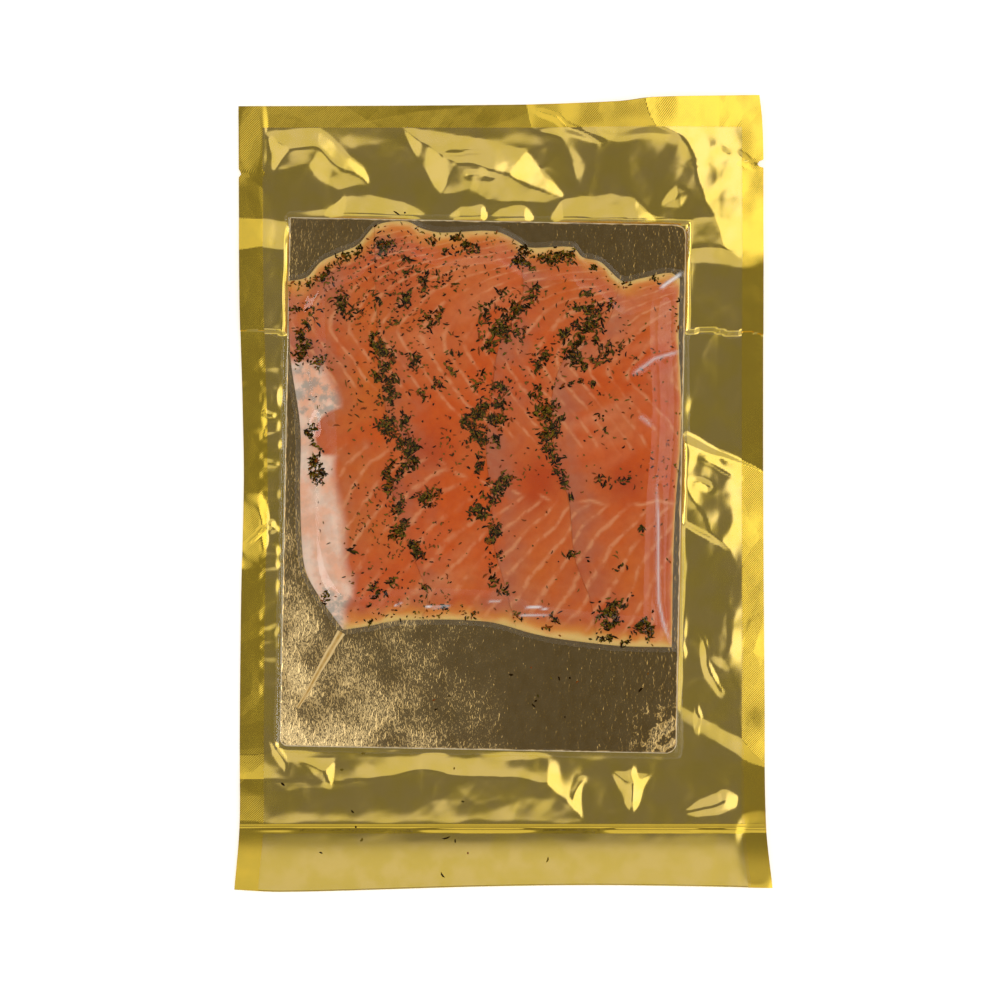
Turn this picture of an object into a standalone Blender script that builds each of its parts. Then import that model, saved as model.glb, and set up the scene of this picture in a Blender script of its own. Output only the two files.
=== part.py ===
"""Vacuum pack of sliced gravlax, lying flat with its clear side up.

A gold foil back sheet and a clear front film are sealed on three sides and welded across the bottom, with
an open flap below the weld. Inside lie a foil-faced board, four shingled slices with dill and a thin strand.
Metres, +Z up. The origin is the middle of the footprint, on the surface that the pack lies on, +Y points to
the sealed top edge. Lengths below are millimetres, which MM turns into metres.
"""

import math
import random

import bmesh
import bpy
from mathutils import Vector, noise

MM = 0.001
GAP = 0.3  # air left between pieces that lie on each other

# Pouch outline. The sides are (y, x) and the ends (x, y); the flat flap is wider than the drawn-in body.
SIDE_LEFT = [(-147, -100), (-123, -98), (-90, -98), (-39, -97.5), (5, -96.5), (35, -97), (72, -98), (144, -98.5)]
SIDE_RIGHT = [(-147, 100), (-123, 97.5), (-76, 97), (0, 96.5), (124, 96.5), (139, 96), (148, 95)]
END_TOP = [(-98.5, 144), (-8, 144.5), (43, 145.5), (58, 147), (95, 148)]
END_BOTTOM = [(-100, -147), (-80, -148), (-8, -146), (36, -145.5), (100, -146.5)]
SHEET_THICK = 0.4
FILM_THICK = 0.3
SEAL_WIDTH = 9.0
WELD_Y = -122.5  # the weld across the bottom, above the open flap
EDGE_LIFT = 0.8  # how far the drawn-in margins lift off the surface
CORNER_LIFT = 2.2  # extra lift of the top right corner
NOTCHES = [(-98.6, 119, 1.1, 1.5), (96.6, 122.5, 2.2, 2.6)]  # tear notches: x, y, depth, height

# Board
BOARD_SIZE = (147.5, 196.5)
BOARD_THICK = 1.2
BOARD_CENTRE = (-7.6, 3.1)
BOARD_TURN = math.radians(-1.1)
BOARD_RADII = [3.0, 4.0, 4.0, 0.8]  # bottom left, bottom right, top right, top left
BOARD_LOW = SHEET_THICK + GAP
BOARD_TOP = BOARD_LOW + BOARD_THICK

# Slices, pressed flush by the vacuum: each one's right edge lies on the next one, which thins to a wedge there.
# Edges are (y, x), the ends of the stack (x, y).
STACK_THICK = 4.2
STACK_RIM = 1.1
WEDGE = (0.2, 0.92)  # share of the full thickness at a slice's hidden left edge and where it comes into view
LIP = 0.35  # how far a slice's right edge stands above the level of the stack
THINNEST = 0.35
SLICE_GAP = 0.5  # between slices, whose facets don't follow each other exactly
OVERLAP = 14.0
RAMP = 5.0
LEFT_EDGE = [(-50.5, -59.5), (-41, -66.5), (-31, -72.5), (-23, -74.5), (0, -75.5), (25, -75.5), (50, -79), (79, -80)]
FOLDS = [
    [(-47, -30.5), (-39, -28), (-24, -33), (-13, -37.5), (2, -41), (16, -35.5), (31, -43.5), (59, -46.5), (101, -48)],
    [(-49, 4.5), (-32, 0), (-17, -4), (-2, -4.5), (18, -6.5), (35, -4.5), (55, -1.5), (72, 7), (93, 5.5)],
    [(-55, 35), (-39, 32), (-24, 26.5), (-1, 24), (5, 21), (20, 18.5), (36, 18), (52, 24), (61, 37), (78, 43.5)],
]
RIGHT_EDGE = [(-57, 62.5), (-24, 63), (-2, 64), (16, 65.5), (35, 66), (57, 65), (80, 65.5)]
STACK_TOP = [
    (-80, 79), (-73, 80.5), (-68, 86), (-61, 89.5), (-54, 92.5), (-48, 99), (-42, 101), (-35, 101), (-30, 98.5),
    (-23, 97), (-3, 97.5), (5, 94), (9, 91.5), (26, 91.5), (29, 88), (36, 86), (44, 79), (51, 80), (62, 82), (66, 79.5),
]
STACK_BOTTOM = [(-59.5, -50.5), (-49, -49), (-38, -47), (-6, -47.5), (11, -52), (21, -54), (43, -56.5), (64, -57)]
SLICE_COLUMNS = [0, 0.04, 0.1, 0.19, 0.29, 0.4, 0.5, 0.6, 0.7, 0.8, 0.9, 0.96, 1]
SLICE_ROWS = 20
CURL = (-67.5, 26.0, 5.0, 0.9)  # the turned-up left edge of the first slice: x, y, radius, height

# Thin strand of fish on the board, from the corner of the first slice: its middle line as (x, y)
STRAND = [(-61.2, -53.2), (-65, -59.5), (-69.5, -67.5), (-73, -74), (-76.5, -79.5)]
STRAND_WIDTH = 1.8
STRAND_HEIGHT = 0.8

# Dill in clumps along the slices' edges: x, y, radius, number of flakes
DILL_SEED = 11
DILL_LONG = (1.7, 3.2)
DILL_WIDE = 0.8
DILL_HIGH = 0.45
DILL_SUNK = 0.45
DILL_CLEAR = 1.7
CLUMPS = [
    (-44, 92, 3.5, 4), (-59, 70, 3.0, 3), (-34, 73, 3.0, 3), (-18, 91, 3.5, 3), (9, 87, 3.0, 3), (19, 87, 3.5, 3),
    (-74, 56, 3.0, 3), (-47, 54, 2.5, 3), (-46, 44, 3.0, 4), (-47, 31, 3.0, 4), (-42, 22, 2.5, 3),
    (-40, 14, 2.5, 3), (-43, 5, 2.5, 3), (-43, -4, 2.0, 2), (-39, -14, 2.0, 2), (-28.5, -1, 2.5, 3),
    (-1, 64, 5.5, 8), (-9.5, 29, 5.0, 8), (-11, 9, 3.0, 3), (-8, -4, 3.0, 4), (-7, -14, 2.0, 2), (-1.5, -25, 2.5, 2),
    (30, 60, 5.5, 8), (36, 52, 3.0, 3), (15, 36, 2.5, 3), (15, 24, 3.0, 4), (16, 14, 2.5, 2), (20, 0, 2.0, 2),
    (40.5, -46, 4.5, 7), (52, -49, 3.0, 4), (62, 64, 2.0, 2), (-69.5, 8, 2.5, 3), (-18, 42, 3.0, 2),
]

# Grid lines of the two pouch sheets, closer together where the film steps down beside the board
GRID_X = [-98, -93.5, -89.5, -86.8, -84.6, -82.4, -79.5, -75, -67, -57, -47, -37, -27, -17, -7, 3, 13, 23, 33, 43]
GRID_X += [53, 61, 66, 69.5, 73, 78, 83.5, 88.5, 93, 98]
GRID_Y = [-147, -136, -125.5, -122.5, -117, -108, -101, -98, -95, -91, -83, -73, -63, -54, -45, -35, -25, -15, -5]
GRID_Y += [5, 15, 25, 35, 45, 55, 65, 75, 84, 92, 98, 101.5, 104, 107, 113, 121, 129, 136, 141, 146]
CONTACT_MARGIN = 3.0  # the sheet lies flat this far out from the board's edge


def along(points, t):
    """Value at t of a smooth curve through (t, value) points in ascending order."""
    last = len(points) - 1
    t = min(max(t, points[0][0]), points[last][0])
    k = max(i for i in range(last) if points[i][0] <= t)
    before, start, end, after = points[max(k - 1, 0)], points[k], points[k + 1], points[min(k + 2, last)]
    span = end[0] - start[0]
    slope_start = (end[1] - before[1]) / (end[0] - before[0]) * span
    slope_end = (after[1] - start[1]) / (after[0] - start[0]) * span
    u = (t - start[0]) / span
    ends = (1 + 2 * u) * (1 - u) ** 2 * start[1] + u * u * (3 - 2 * u) * end[1]
    return ends + u * (1 - u) ** 2 * slope_start - u * u * (1 - u) * slope_end


def mix(a, b, t):
    return a + (b - a) * t


def smooth(t):
    """Ease from 0 to 1 as t goes from 0 to 1."""
    t = min(max(t, 0.0), 1.0)
    return t * t * (3 - 2 * t)


def wave(x, y, reach, layer=0.0):
    """Soft unevenness between -1 and 1, with bumps about reach millimetres apart."""
    return noise.noise(Vector((x / reach, y / reach, layer)))


# ---- Heights: how the pieces lie on each other ----


def beside_board(x, y):
    """Distance outside the board's edges, negative within them."""
    dx, dy = x - BOARD_CENTRE[0], y - BOARD_CENTRE[1]
    across = dx * math.cos(BOARD_TURN) + dy * math.sin(BOARD_TURN)
    up = dy * math.cos(BOARD_TURN) - dx * math.sin(BOARD_TURN)
    return max(abs(across) - BOARD_SIZE[0] / 2, abs(up) - BOARD_SIZE[1] / 2)


def sheet_low(x, y):
    """Underside of the back sheet: flat under the board, gently lifted along the margins."""
    out = smooth((beside_board(x, y) - CONTACT_MARGIN) / 16)
    corner = smooth((x + y - 175) / 70)
    return out * (EDGE_LIFT * (0.7 + 0.6 * wave(x, y, 45)) + CORNER_LIFT * corner)


def left_of(index, y):
    """The left edge of a slice, which lies under the slice before it."""
    return along(LEFT_EDGE, y) if index == 0 else along(FOLDS[index - 1], y) - OVERLAP


def right_of(index, y):
    return along(FOLDS[index], y) if index < len(FOLDS) else along(RIGHT_EDGE, y)


def slice_low(index, x, y):
    """Underside of a slice: on the board, then up over the left edge of the next slice."""
    base = BOARD_TOP + GAP
    if index == len(FOLDS):
        return base
    edge = left_of(index + 1, y)
    over = slice_high(index + 1, max(x, edge + 1), y) + SLICE_GAP
    return mix(base, over, smooth((x - edge + 1.5 + RAMP) / RAMP))


def stack_thick(x, y):
    """Thickness of the pressed stack, thinned towards its outline."""
    sides = smooth((x - left_of(0, y)) / 6) * smooth((along(RIGHT_EDGE, y) - x) / 6)
    ends = smooth((along(STACK_TOP, x) - y) / 5) * smooth((y - along(STACK_BOTTOM, x)) / 5)
    return mix(STACK_RIM, STACK_THICK + 0.5 * wave(x, y, 24), sides * ends)


def slice_high(index, x, y):
    """Top of a slice: a wedge where the slice before it lies on it, then flush with the stack up to its lip."""
    full = stack_thick(x, y)
    if index > 0:
        share = (x - left_of(index, y)) / OVERLAP
        full *= mix(WEDGE[0], WEDGE[1], min(share, 1)) + (1 - WEDGE[1]) * smooth((share - 1) / 0.3)
    lip = LIP * smooth((x - right_of(index, y)) / 12 + 1) if index < len(FOLDS) else 0
    curl_x, curl_y, curl_reach, curl_height = CURL
    curl = curl_height * smooth(1 - math.hypot(x - curl_x, y - curl_y) / curl_reach) if index == 0 else 0
    return max(BOARD_TOP + GAP + full + lip, slice_low(index, x, y) + THINNEST) + curl


def top_slice(x, y):
    """Index of the slice that shows at a place, or None off the fish."""
    if not along(STACK_BOTTOM, x) <= y <= along(STACK_TOP, x) or not left_of(0, y) <= x <= along(RIGHT_EDGE, y):
        return None
    return next(i for i in range(len(FOLDS) + 1) if x <= right_of(i, y))


def contents_high(x, y):
    """Height that the front film has to clear at a place."""
    height = sheet_low(x, y) + SHEET_THICK
    if beside_board(x, y) <= 0.5:
        height = max(height, BOARD_TOP)
    index = top_slice(x, y)
    if index is not None:
        height = max(height, slice_high(index, x, y) + DILL_HIGH)
    if STRAND[-1][0] - 2 < x < STRAND[0][0] + 2 and STRAND[-1][1] - 2 < y < STRAND[0][1] + 2:
        height = max(height, BOARD_TOP + GAP + STRAND_HEIGHT)
    return height


# ---- Mesh helpers ----


def material(name, colour, roughness, metallic=0.0, alpha=1.0):
    found = bpy.data.materials.new(name)
    found.use_nodes = True
    shader = found.node_tree.nodes["Principled BSDF"]
    shader.inputs["Base Color"].default_value = (*colour, 1)
    shader.inputs["Roughness"].default_value = roughness
    shader.inputs["Metallic"].default_value = metallic
    shader.inputs["Alpha"].default_value = alpha
    return found


def new_object(name, bm, finish):
    bmesh.ops.recalc_face_normals(bm, faces=bm.faces)
    mesh = bpy.data.meshes.new(name)
    bm.to_mesh(mesh)
    bm.free()
    mesh.materials.append(finish)
    made = bpy.data.objects.new(name, mesh)
    bpy.context.scene.collection.objects.link(made)
    return made


def slab(bm, low, high):
    """Closed solid between two grids of points, each a list of rows."""
    rows, columns = len(low), len(low[0])
    sides = [[[bm.verts.new(Vector(p) * MM) for p in row] for row in grid] for grid in (low, high)]
    for grid in sides:
        for j in range(rows - 1):
            for i in range(columns - 1):
                bm.faces.new((grid[j][i], grid[j][i + 1], grid[j + 1][i + 1], grid[j + 1][i]))
    rim = [(0, i) for i in range(columns - 1)] + [(j, columns - 1) for j in range(rows - 1)]
    rim += [(rows - 1, i) for i in range(columns - 1, 0, -1)] + [(j, 0) for j in range(rows - 1, 0, -1)]
    under, over = sides
    for (j, i), (k, m) in zip(rim, rim[1:] + rim[:1]):
        bm.faces.new((under[j][i], under[k][m], over[k][m], over[j][i]))


def flatten_base(bm):
    """Turn the level middle of each side of a sheet into one large face."""
    for level in (0.0, SHEET_THICK * MM):
        flat = [f for f in bm.faces if all(abs(v.co.z - level) < 1e-7 for v in f.verts)]
        bmesh.ops.dissolve_faces(bm, faces=flat)


def notch_cutter(name, place):
    """Wedge that opens a tear notch in the pouch's edge."""
    x, y, depth, height = place
    inward = -math.copysign(1, x)
    corners = [(x - inward * 4, y + height), (x + inward * depth, y), (x - inward * 4, y - height)]
    bm = bmesh.new()
    rings = [[bm.verts.new(Vector((cx, cy, z)) * MM) for cx, cy in corners] for z in (-5, 12)]
    for ring in rings:
        bm.faces.new(ring)
    for k in range(len(corners)):
        after = (k + 1) % len(corners)
        bm.faces.new((rings[0][k], rings[0][after], rings[1][after], rings[1][k]))
    cutter = new_object(name, bm, GOLD)
    cutter.hide_render = True
    cutter.display_type = "WIRE"
    return cutter


def cut_notches(piece, cutters):
    for cutter in cutters:
        cut = piece.modifiers.new(cutter.name, "BOOLEAN")
        cut.operation = "DIFFERENCE"
        cut.object = cutter


# ---- Pouch ----


def pouch_point(grid_x, grid_y):
    """Place on the pouch for nominal grid lines, stretched to the real outline."""
    across = (grid_x - GRID_X[0]) / (GRID_X[-1] - GRID_X[0])
    rough_y = mix(along(END_BOTTOM, grid_x), along(END_TOP, grid_x), (grid_y - GRID_Y[0]) / (GRID_Y[-1] - GRID_Y[0]))
    y = mix(grid_y, rough_y, smooth(abs(grid_y) / 60 - 1.3))
    near_side = smooth((abs(grid_x) - 80) / (98 - 80))
    full_x = mix(along(SIDE_LEFT, y), along(SIDE_RIGHT, y), across)
    return mix(grid_x, full_x, near_side), y


def pouch_back():
    low, high = [], []
    for grid_y in GRID_Y:
        row = [pouch_point(grid_x, grid_y) for grid_x in GRID_X]
        low.append([(x, y, sheet_low(x, y)) for x, y in row])
        high.append([(x, y, sheet_low(x, y) + SHEET_THICK) for x, y in row])
    bm = bmesh.new()
    slab(bm, low, high)
    flatten_base(bm)
    return new_object("pouch_back", bm, GOLD)


def front_film():
    """Clear film, draped over the highest thing within reach of each of its points."""
    samples = 6
    points = [[pouch_point(grid_x, grid_y) for grid_x in GRID_X] for grid_y in GRID_Y]
    rows, columns = len(points), len(points[0])
    cell_top = {}
    for j in range(rows - 1):
        for i in range(columns - 1):
            (x0, y0), (x1, y1) = points[j][i], points[j + 1][i + 1]
            steps = [(mix(x0, x1, a / samples), mix(y0, y1, b / samples)) for a in range(-1, samples + 2)
                     for b in range(-1, samples + 2)]
            cell_top[j, i] = max(contents_high(x, y) for x, y in steps)
    low, high = [], []
    for j in range(rows):
        low_row = []
        for i in range(columns):
            around = [cell_top[k, m] for k in (j - 1, j) for m in (i - 1, i) if (k, m) in cell_top]
            low_row.append((*points[j][i], max(around) + GAP))
        low.append(low_row)
        high.append([(x, y, z + FILM_THICK) for x, y, z in low_row])
    bm = bmesh.new()
    slab(bm, low, high)
    return new_object("front_film", bm, CLEAR)


# ---- Contents ----


def board():
    """Flat plate with its own radius at each corner."""
    half_x, half_y = BOARD_SIZE[0] / 2, BOARD_SIZE[1] / 2
    corners = [(-half_x, -half_y), (half_x, -half_y), (half_x, half_y), (-half_x, half_y)]
    steps = 5
    outline = []
    for k, ((x, y), radius) in enumerate(zip(corners, BOARD_RADII)):
        middle_x, middle_y = x - math.copysign(radius, x), y - math.copysign(radius, y)
        start = math.pi + k * math.pi / 2
        for step in range(steps + 1):
            angle = start + step / steps * math.pi / 2
            outline.append((middle_x + radius * math.cos(angle), middle_y + radius * math.sin(angle)))
    bm = bmesh.new()
    face = bm.faces.new([bm.verts.new((x * MM, y * MM, 0)) for x, y in outline])
    grown = bmesh.ops.extrude_face_region(bm, geom=[face])
    top = [v for v in grown["geom"] if isinstance(v, bmesh.types.BMVert)]
    bmesh.ops.translate(bm, verts=top, vec=(0, 0, BOARD_THICK * MM))
    made = new_object("board", bm, BRONZE)
    made.location = Vector((*BOARD_CENTRE, BOARD_LOW)) * MM
    made.rotation_euler.z = BOARD_TURN
    return made


def slice_point(index, u, v):
    """Place on a slice for u across it and v from its lower to its upper end."""
    lower_x = mix(left_of(index, -50), right_of(index, -50), u)
    upper_x = mix(left_of(index, 90), right_of(index, 90), u)
    y = mix(along(STACK_BOTTOM, lower_x), along(STACK_TOP, upper_x), v)
    return mix(left_of(index, y), right_of(index, y), u), y


def gravlax_slice(index):
    low, high = [], []
    for j in range(SLICE_ROWS + 1):
        row = [slice_point(index, u, j / SLICE_ROWS) for u in SLICE_COLUMNS]
        low.append([(x, y, slice_low(index, x, y)) for x, y in row])
        high.append([(x, y, slice_high(index, x, y)) for x, y in row])
    bm = bmesh.new()
    slab(bm, low, high)
    return new_object(f"slice_{index + 1}", bm, SALMON)


def strand():
    """Half-round ribbon lying along its middle line."""
    low, high = [], []
    for k, (x, y) in enumerate(STRAND):
        x0, y0 = STRAND[max(k - 1, 0)]
        x1, y1 = STRAND[min(k + 1, len(STRAND) - 1)]
        length = math.hypot(x1 - x0, y1 - y0)
        side_x, side_y = (y1 - y0) / length, (x0 - x1) / length
        width = STRAND_WIDTH * mix(1, 0.5, k / (len(STRAND) - 1))
        places = [(x + side_x * width * a, y + side_y * width * a, a) for a in (-0.5, -0.2, 0.2, 0.5)]
        base = BOARD_TOP + GAP
        low.append([(px, py, base) for px, py, _ in places])
        high.append([(px, py, base + STRAND_HEIGHT * (1 - 2.4 * a * a)) for px, py, a in places])
    bm = bmesh.new()
    slab(bm, low, high)
    return new_object("strand", bm, PALE)


def flake(piece, x, y, angle, length):
    """One dill flake: a long flattened octahedron, half sunk into the top of a slice."""
    z = piece.ray_cast(Vector((x, y, 50)) * MM, Vector((0, 0, -1)))[1].z / MM
    ahead = Vector((math.cos(angle), math.sin(angle), 0)) * length / 2
    aside = Vector((-math.sin(angle), math.cos(angle), 0)) * DILL_WIDE / 2
    middle = Vector((x, y, z))
    bm = bmesh.new()
    ring = [bm.verts.new((middle + step) * MM) for step in (ahead, aside, -ahead, -aside)]
    tips = [bm.verts.new((middle + Vector((0, 0, step))) * MM) for step in (DILL_HIGH, -DILL_SUNK)]
    for tip in tips:
        for k in range(4):
            bm.faces.new((ring[k], ring[(k + 1) % 4], tip))
    return new_object("flake", bm, HERB)


def clear_of_rims(index, x, y):
    """True if a flake's middle is on the slice, away from its own rim and from the slice above it."""
    hidden = right_of(index - 1, y) + DILL_CLEAR if index else left_of(0, y) + DILL_CLEAR
    within_x = hidden < x < right_of(index, y) - DILL_CLEAR
    return within_x and along(STACK_BOTTOM, x) + DILL_CLEAR < y < along(STACK_TOP, x) - DILL_CLEAR


def dill_places():
    """Seeded flakes of every clump: slice index, x, y, angle, length."""
    random.seed(DILL_SEED)
    places = []
    for x, y, radius, count in CLUMPS:
        for _ in range(count):
            turn, reach = random.uniform(0, math.tau), radius * math.sqrt(random.random())
            px, py = x + reach * math.cos(turn), y + reach * math.sin(turn)
            angle, length = random.uniform(0, math.pi), random.uniform(*DILL_LONG)
            index = top_slice(px, py)
            if index is not None and clear_of_rims(index, px, py):
                places.append((index, px, py, angle, length))
    return places


def fuse_dill(piece, flakes):
    """Join flakes to a slice with one Boolean union, and remove the loose ones."""
    group = bpy.data.collections.new("dill")
    for one in flakes:
        bpy.context.scene.collection.objects.unlink(one)
        group.objects.link(one)
    bpy.context.scene.collection.children.link(group)
    union = piece.modifiers.new("dill", "BOOLEAN")
    union.operation = "UNION"
    union.operand_type = "COLLECTION"
    union.collection = group
    bpy.context.view_layer.update()
    seen = piece.evaluated_get(bpy.context.evaluated_depsgraph_get())
    fused = bpy.data.meshes.new_from_object(seen)
    piece.modifiers.clear()
    piece.data = fused
    for one in flakes:
        bpy.data.objects.remove(one)
    bpy.data.collections.remove(group)


for old in list(bpy.data.objects):
    bpy.data.objects.remove(old)

GOLD = material("gold_foil", (0.62, 0.46, 0.10), 0.25, metallic=1.0)
CLEAR = material("clear_film", (0.95, 0.95, 0.92), 0.1, alpha=0.2)
BRONZE = material("board_foil", (0.20, 0.14, 0.07), 0.4, metallic=0.8)
SALMON = material("salmon", (0.62, 0.17, 0.06), 0.45)
PALE = material("strand_fish", (0.75, 0.45, 0.22), 0.5)
HERB = material("dill", (0.03, 0.05, 0.015), 0.7)

back = pouch_back()
board()
slices = [gravlax_slice(index) for index in range(len(FOLDS) + 1)]
strand()
film = front_film()
bpy.context.view_layer.update()

dill = dill_places()
for index, piece in enumerate(slices):
    fuse_dill(piece, [flake(piece, *place) for owner, *place in dill if owner == index])

notch_cutters = [notch_cutter(f"notch_cutter_{k + 1}", place) for k, place in enumerate(NOTCHES)]
for sheet in (back, film):
    cut_notches(sheet, notch_cutters)
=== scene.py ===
import math

import bpy
import numpy as np
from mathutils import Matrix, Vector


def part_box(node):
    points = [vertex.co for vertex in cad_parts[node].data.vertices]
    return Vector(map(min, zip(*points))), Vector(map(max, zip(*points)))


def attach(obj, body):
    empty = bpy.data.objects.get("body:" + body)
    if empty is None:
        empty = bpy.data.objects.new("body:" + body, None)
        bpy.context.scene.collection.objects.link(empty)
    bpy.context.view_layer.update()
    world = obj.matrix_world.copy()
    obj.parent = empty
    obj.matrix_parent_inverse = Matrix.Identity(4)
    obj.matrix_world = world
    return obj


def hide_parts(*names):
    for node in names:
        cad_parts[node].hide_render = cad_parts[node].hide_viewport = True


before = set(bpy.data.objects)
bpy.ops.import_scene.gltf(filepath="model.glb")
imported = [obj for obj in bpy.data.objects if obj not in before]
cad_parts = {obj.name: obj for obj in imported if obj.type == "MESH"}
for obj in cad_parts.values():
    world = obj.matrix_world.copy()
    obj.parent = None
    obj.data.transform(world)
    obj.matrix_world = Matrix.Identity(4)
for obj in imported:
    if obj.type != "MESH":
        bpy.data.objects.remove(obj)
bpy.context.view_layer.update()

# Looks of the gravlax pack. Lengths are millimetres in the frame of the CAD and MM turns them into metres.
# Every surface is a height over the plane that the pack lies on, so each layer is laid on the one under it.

MM = 0.001


# ---- Outlines shared with the solids: (y, x) for sides and slice edges, (x, y) for ends ----

SIDE_LEFT = [(-147, -100), (-123, -98), (-90, -98), (-39, -97.5), (5, -96.5), (35, -97), (72, -98), (144, -98.5)]
SIDE_RIGHT = [(-147, 100), (-123, 97.5), (-76, 97), (0, 96.5), (124, 96.5), (139, 96), (148, 95)]
END_TOP = [(-98.5, 144), (-8, 144.5), (43, 145.5), (58, 147), (95, 148)]
END_BOTTOM = [(-100, -147), (-80, -148), (-8, -146), (36, -145.5), (100, -146.5)]
SEAL_WIDTH = 9.0
WELD_Y = -122.5
WELD_WIDTH = 3.7
SEAL_TOP_Y = 136.0
EDGE_LIFT = 0.4  # how far the margins lift off the surface
CORNER_LIFT = 1.2  # extra lift of the top right corner
WELD_LIFT = 0.9  # lift of the weld, from which the flap droops again

BOARD_SIZE = (147.5, 196.5)
BOARD_CENTRE = (-7.6, 3.1)
BOARD_TURN = math.radians(-1.1)
BOARD_RADII = [3.0, 4.0, 4.0, 0.8]
BOARD_LOW, BOARD_TOP = (corner.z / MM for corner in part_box("board"))
FOIL_LEVEL = BOARD_LOW - 0.05
SLICE_BASE = BOARD_TOP + 0.03

STACK_THICK = 4.2
STACK_RIM = 0.35  # thickness at the outline of the stack
THINNING = (14, 11, 13, 12)  # how far in from its left, right, top and bottom outline the stack thins
WEDGE = (0.2, 0.985)  # share of the full thickness at a slice's hidden left edge and where it comes into view
LIP = 0.02  # how far a slice's right edge stands above the level of the stack
LIP_REACH = 12.0
THINNEST = 0.07
SLICE_GAP = 0.04
OVERLAP = 14.0
RAMP = 5.0
LEFT_EDGE = [(-50.5, -59.5), (-41, -66.5), (-31, -72.5), (-23, -74.5), (0, -75.5), (25, -75.5), (50, -79), (79, -80)]
FOLDS = [
    [(-47, -30.5), (-39, -28), (-24, -33), (-13, -37.5), (2, -41), (16, -35.5), (31, -43.5), (59, -46.5), (101, -48)],
    [(-49, 4.5), (-32, 0), (-17, -4), (-2, -4.5), (18, -6.5), (35, -4.5), (55, -1.5), (72, 7), (93, 5.5)],
    [(-55, 35), (-39, 32), (-24, 26.5), (-1, 24), (5, 21), (20, 18.5), (36, 18), (52, 24), (61, 37), (78, 43.5)],
]
RIGHT_EDGE = [(-57, 62.5), (-24, 63), (-2, 64), (16, 65.5), (35, 66), (57, 65), (80, 65.5)]
STACK_TOP = [
    (-80, 79), (-73, 80.5), (-68, 86), (-61, 89.5), (-54, 92.5), (-48, 99), (-42, 101), (-35, 101), (-30, 98.5),
    (-23, 97), (-3, 97.5), (5, 94), (9, 91.5), (26, 91.5), (29, 88), (36, 86), (44, 79), (51, 80), (62, 82), (66, 79.5),
]
STACK_BOTTOM = [(-59.5, -50.5), (-49, -49), (-38, -47), (-6, -47.5), (11, -52), (21, -54), (43, -56.5), (64, -57)]
STRAND = [(-60.2, -51.4), (-65, -59.5), (-69.5, -67.5), (-73, -74), (-76.5, -79.5)]
STRAND_WIDTH = 2.8
CURL = (-67.5, 26.0, 5.0, 0.9)  # the turned-up left edge of the first slice: x, y, radius, height


# ---- Number helpers ----


def along(points, t):
    """Values at t of a smooth curve through (t, value) points in ascending order."""
    at, value = np.array(points, float).T
    slope = np.empty_like(value)
    slope[1:-1] = (value[2:] - value[:-2]) / (at[2:] - at[:-2])
    slope[0] = (value[1] - value[0]) / (at[1] - at[0])
    slope[-1] = (value[-1] - value[-2]) / (at[-1] - at[-2])
    t = np.clip(t, at[0], at[-1])
    k = np.clip(np.searchsorted(at, t, side="right") - 1, 0, len(at) - 2)
    span = at[k + 1] - at[k]
    u = (t - at[k]) / span
    ends = (1 + 2 * u) * (1 - u) ** 2 * value[k] + u * u * (3 - 2 * u) * value[k + 1]
    return ends + span * (u * (1 - u) ** 2 * slope[k] - u * u * (1 - u) * slope[k + 1])


def mix(a, b, t):
    return a + (b - a) * t


def smooth(t):
    """Ease from 0 to 1 as t goes from 0 to 1."""
    t = np.clip(t, 0.0, 1.0)
    return t * t * (3 - 2 * t)


def cells(x, y, reach, seed):
    """Random values at the corners of each place's square cell, and its shares across and up it."""
    table = np.random.default_rng(seed).uniform(-1, 1, (64, 64))
    turn = seed * 0.7
    u = (x * math.cos(turn) - y * math.sin(turn)) / reach
    v = (x * math.sin(turn) + y * math.cos(turn)) / reach
    i, j = np.floor(u).astype(int), np.floor(v).astype(int)
    corners = [table[(i + a) % 64, (j + b) % 64] for b in (0, 1) for a in (0, 1)]
    return *corners, u - i, v - j


def uneven(x, y, reach, seed):
    """Soft unevenness between about -1 and 1, with bumps about reach millimetres apart."""
    near, right, above, far, u, v = cells(x, y, reach, seed)
    u, v = smooth(u), smooth(v)
    return mix(mix(near, right, u), mix(above, far, u), v)


def warped(x, y, amount, reach, seed):
    """Places moved about by up to amount, so that straight borders come out irregular."""
    return x + amount * uneven(x, y, reach, seed), y + amount * uneven(x, y, reach, seed + 1)


def facets(x, y, reach, seed):
    """Crumpling between about -1 and 1: flat triangles that meet in straight creases."""
    x, y = warped(x, y, 0.55 * reach, 2.2 * reach, seed + 1)
    near, right, above, far, u, v = cells(x, y, reach, seed)
    lower = near + (right - near) * u + (above - near) * v
    upper = far + (above - far) * (1 - u) + (right - far) * (1 - v)
    return np.where(u + v < 1, lower, upper)


def rough(x, y, reach, seed):
    """Unevenness with two finer layers on top."""
    finer = 0.5 * uneven(x, y, reach / 2.1, seed + 1) + 0.25 * uneven(x, y, reach / 4.3, seed + 2)
    return uneven(x, y, reach, seed) + finer


def from_line(x, y, points):
    """Distance to a polyline, and how far along it the nearest place lies, from 0 to 1."""
    best = np.full(np.shape(x), 1e9)
    share = np.zeros(np.shape(x))
    for k, ((x0, y0), (x1, y1)) in enumerate(zip(points, points[1:])):
        length = math.hypot(x1 - x0, y1 - y0)
        t = np.clip(((x - x0) * (x1 - x0) + (y - y0) * (y1 - y0)) / length**2, 0, 1)
        gap = np.hypot(x - mix(x0, x1, t), y - mix(y0, y1, t))
        nearer = gap < best
        share = np.where(nearer, (k + t) / (len(points) - 1), share)
        best = np.where(nearer, gap, best)
    return best, share


# ---- Heights ----

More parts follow.
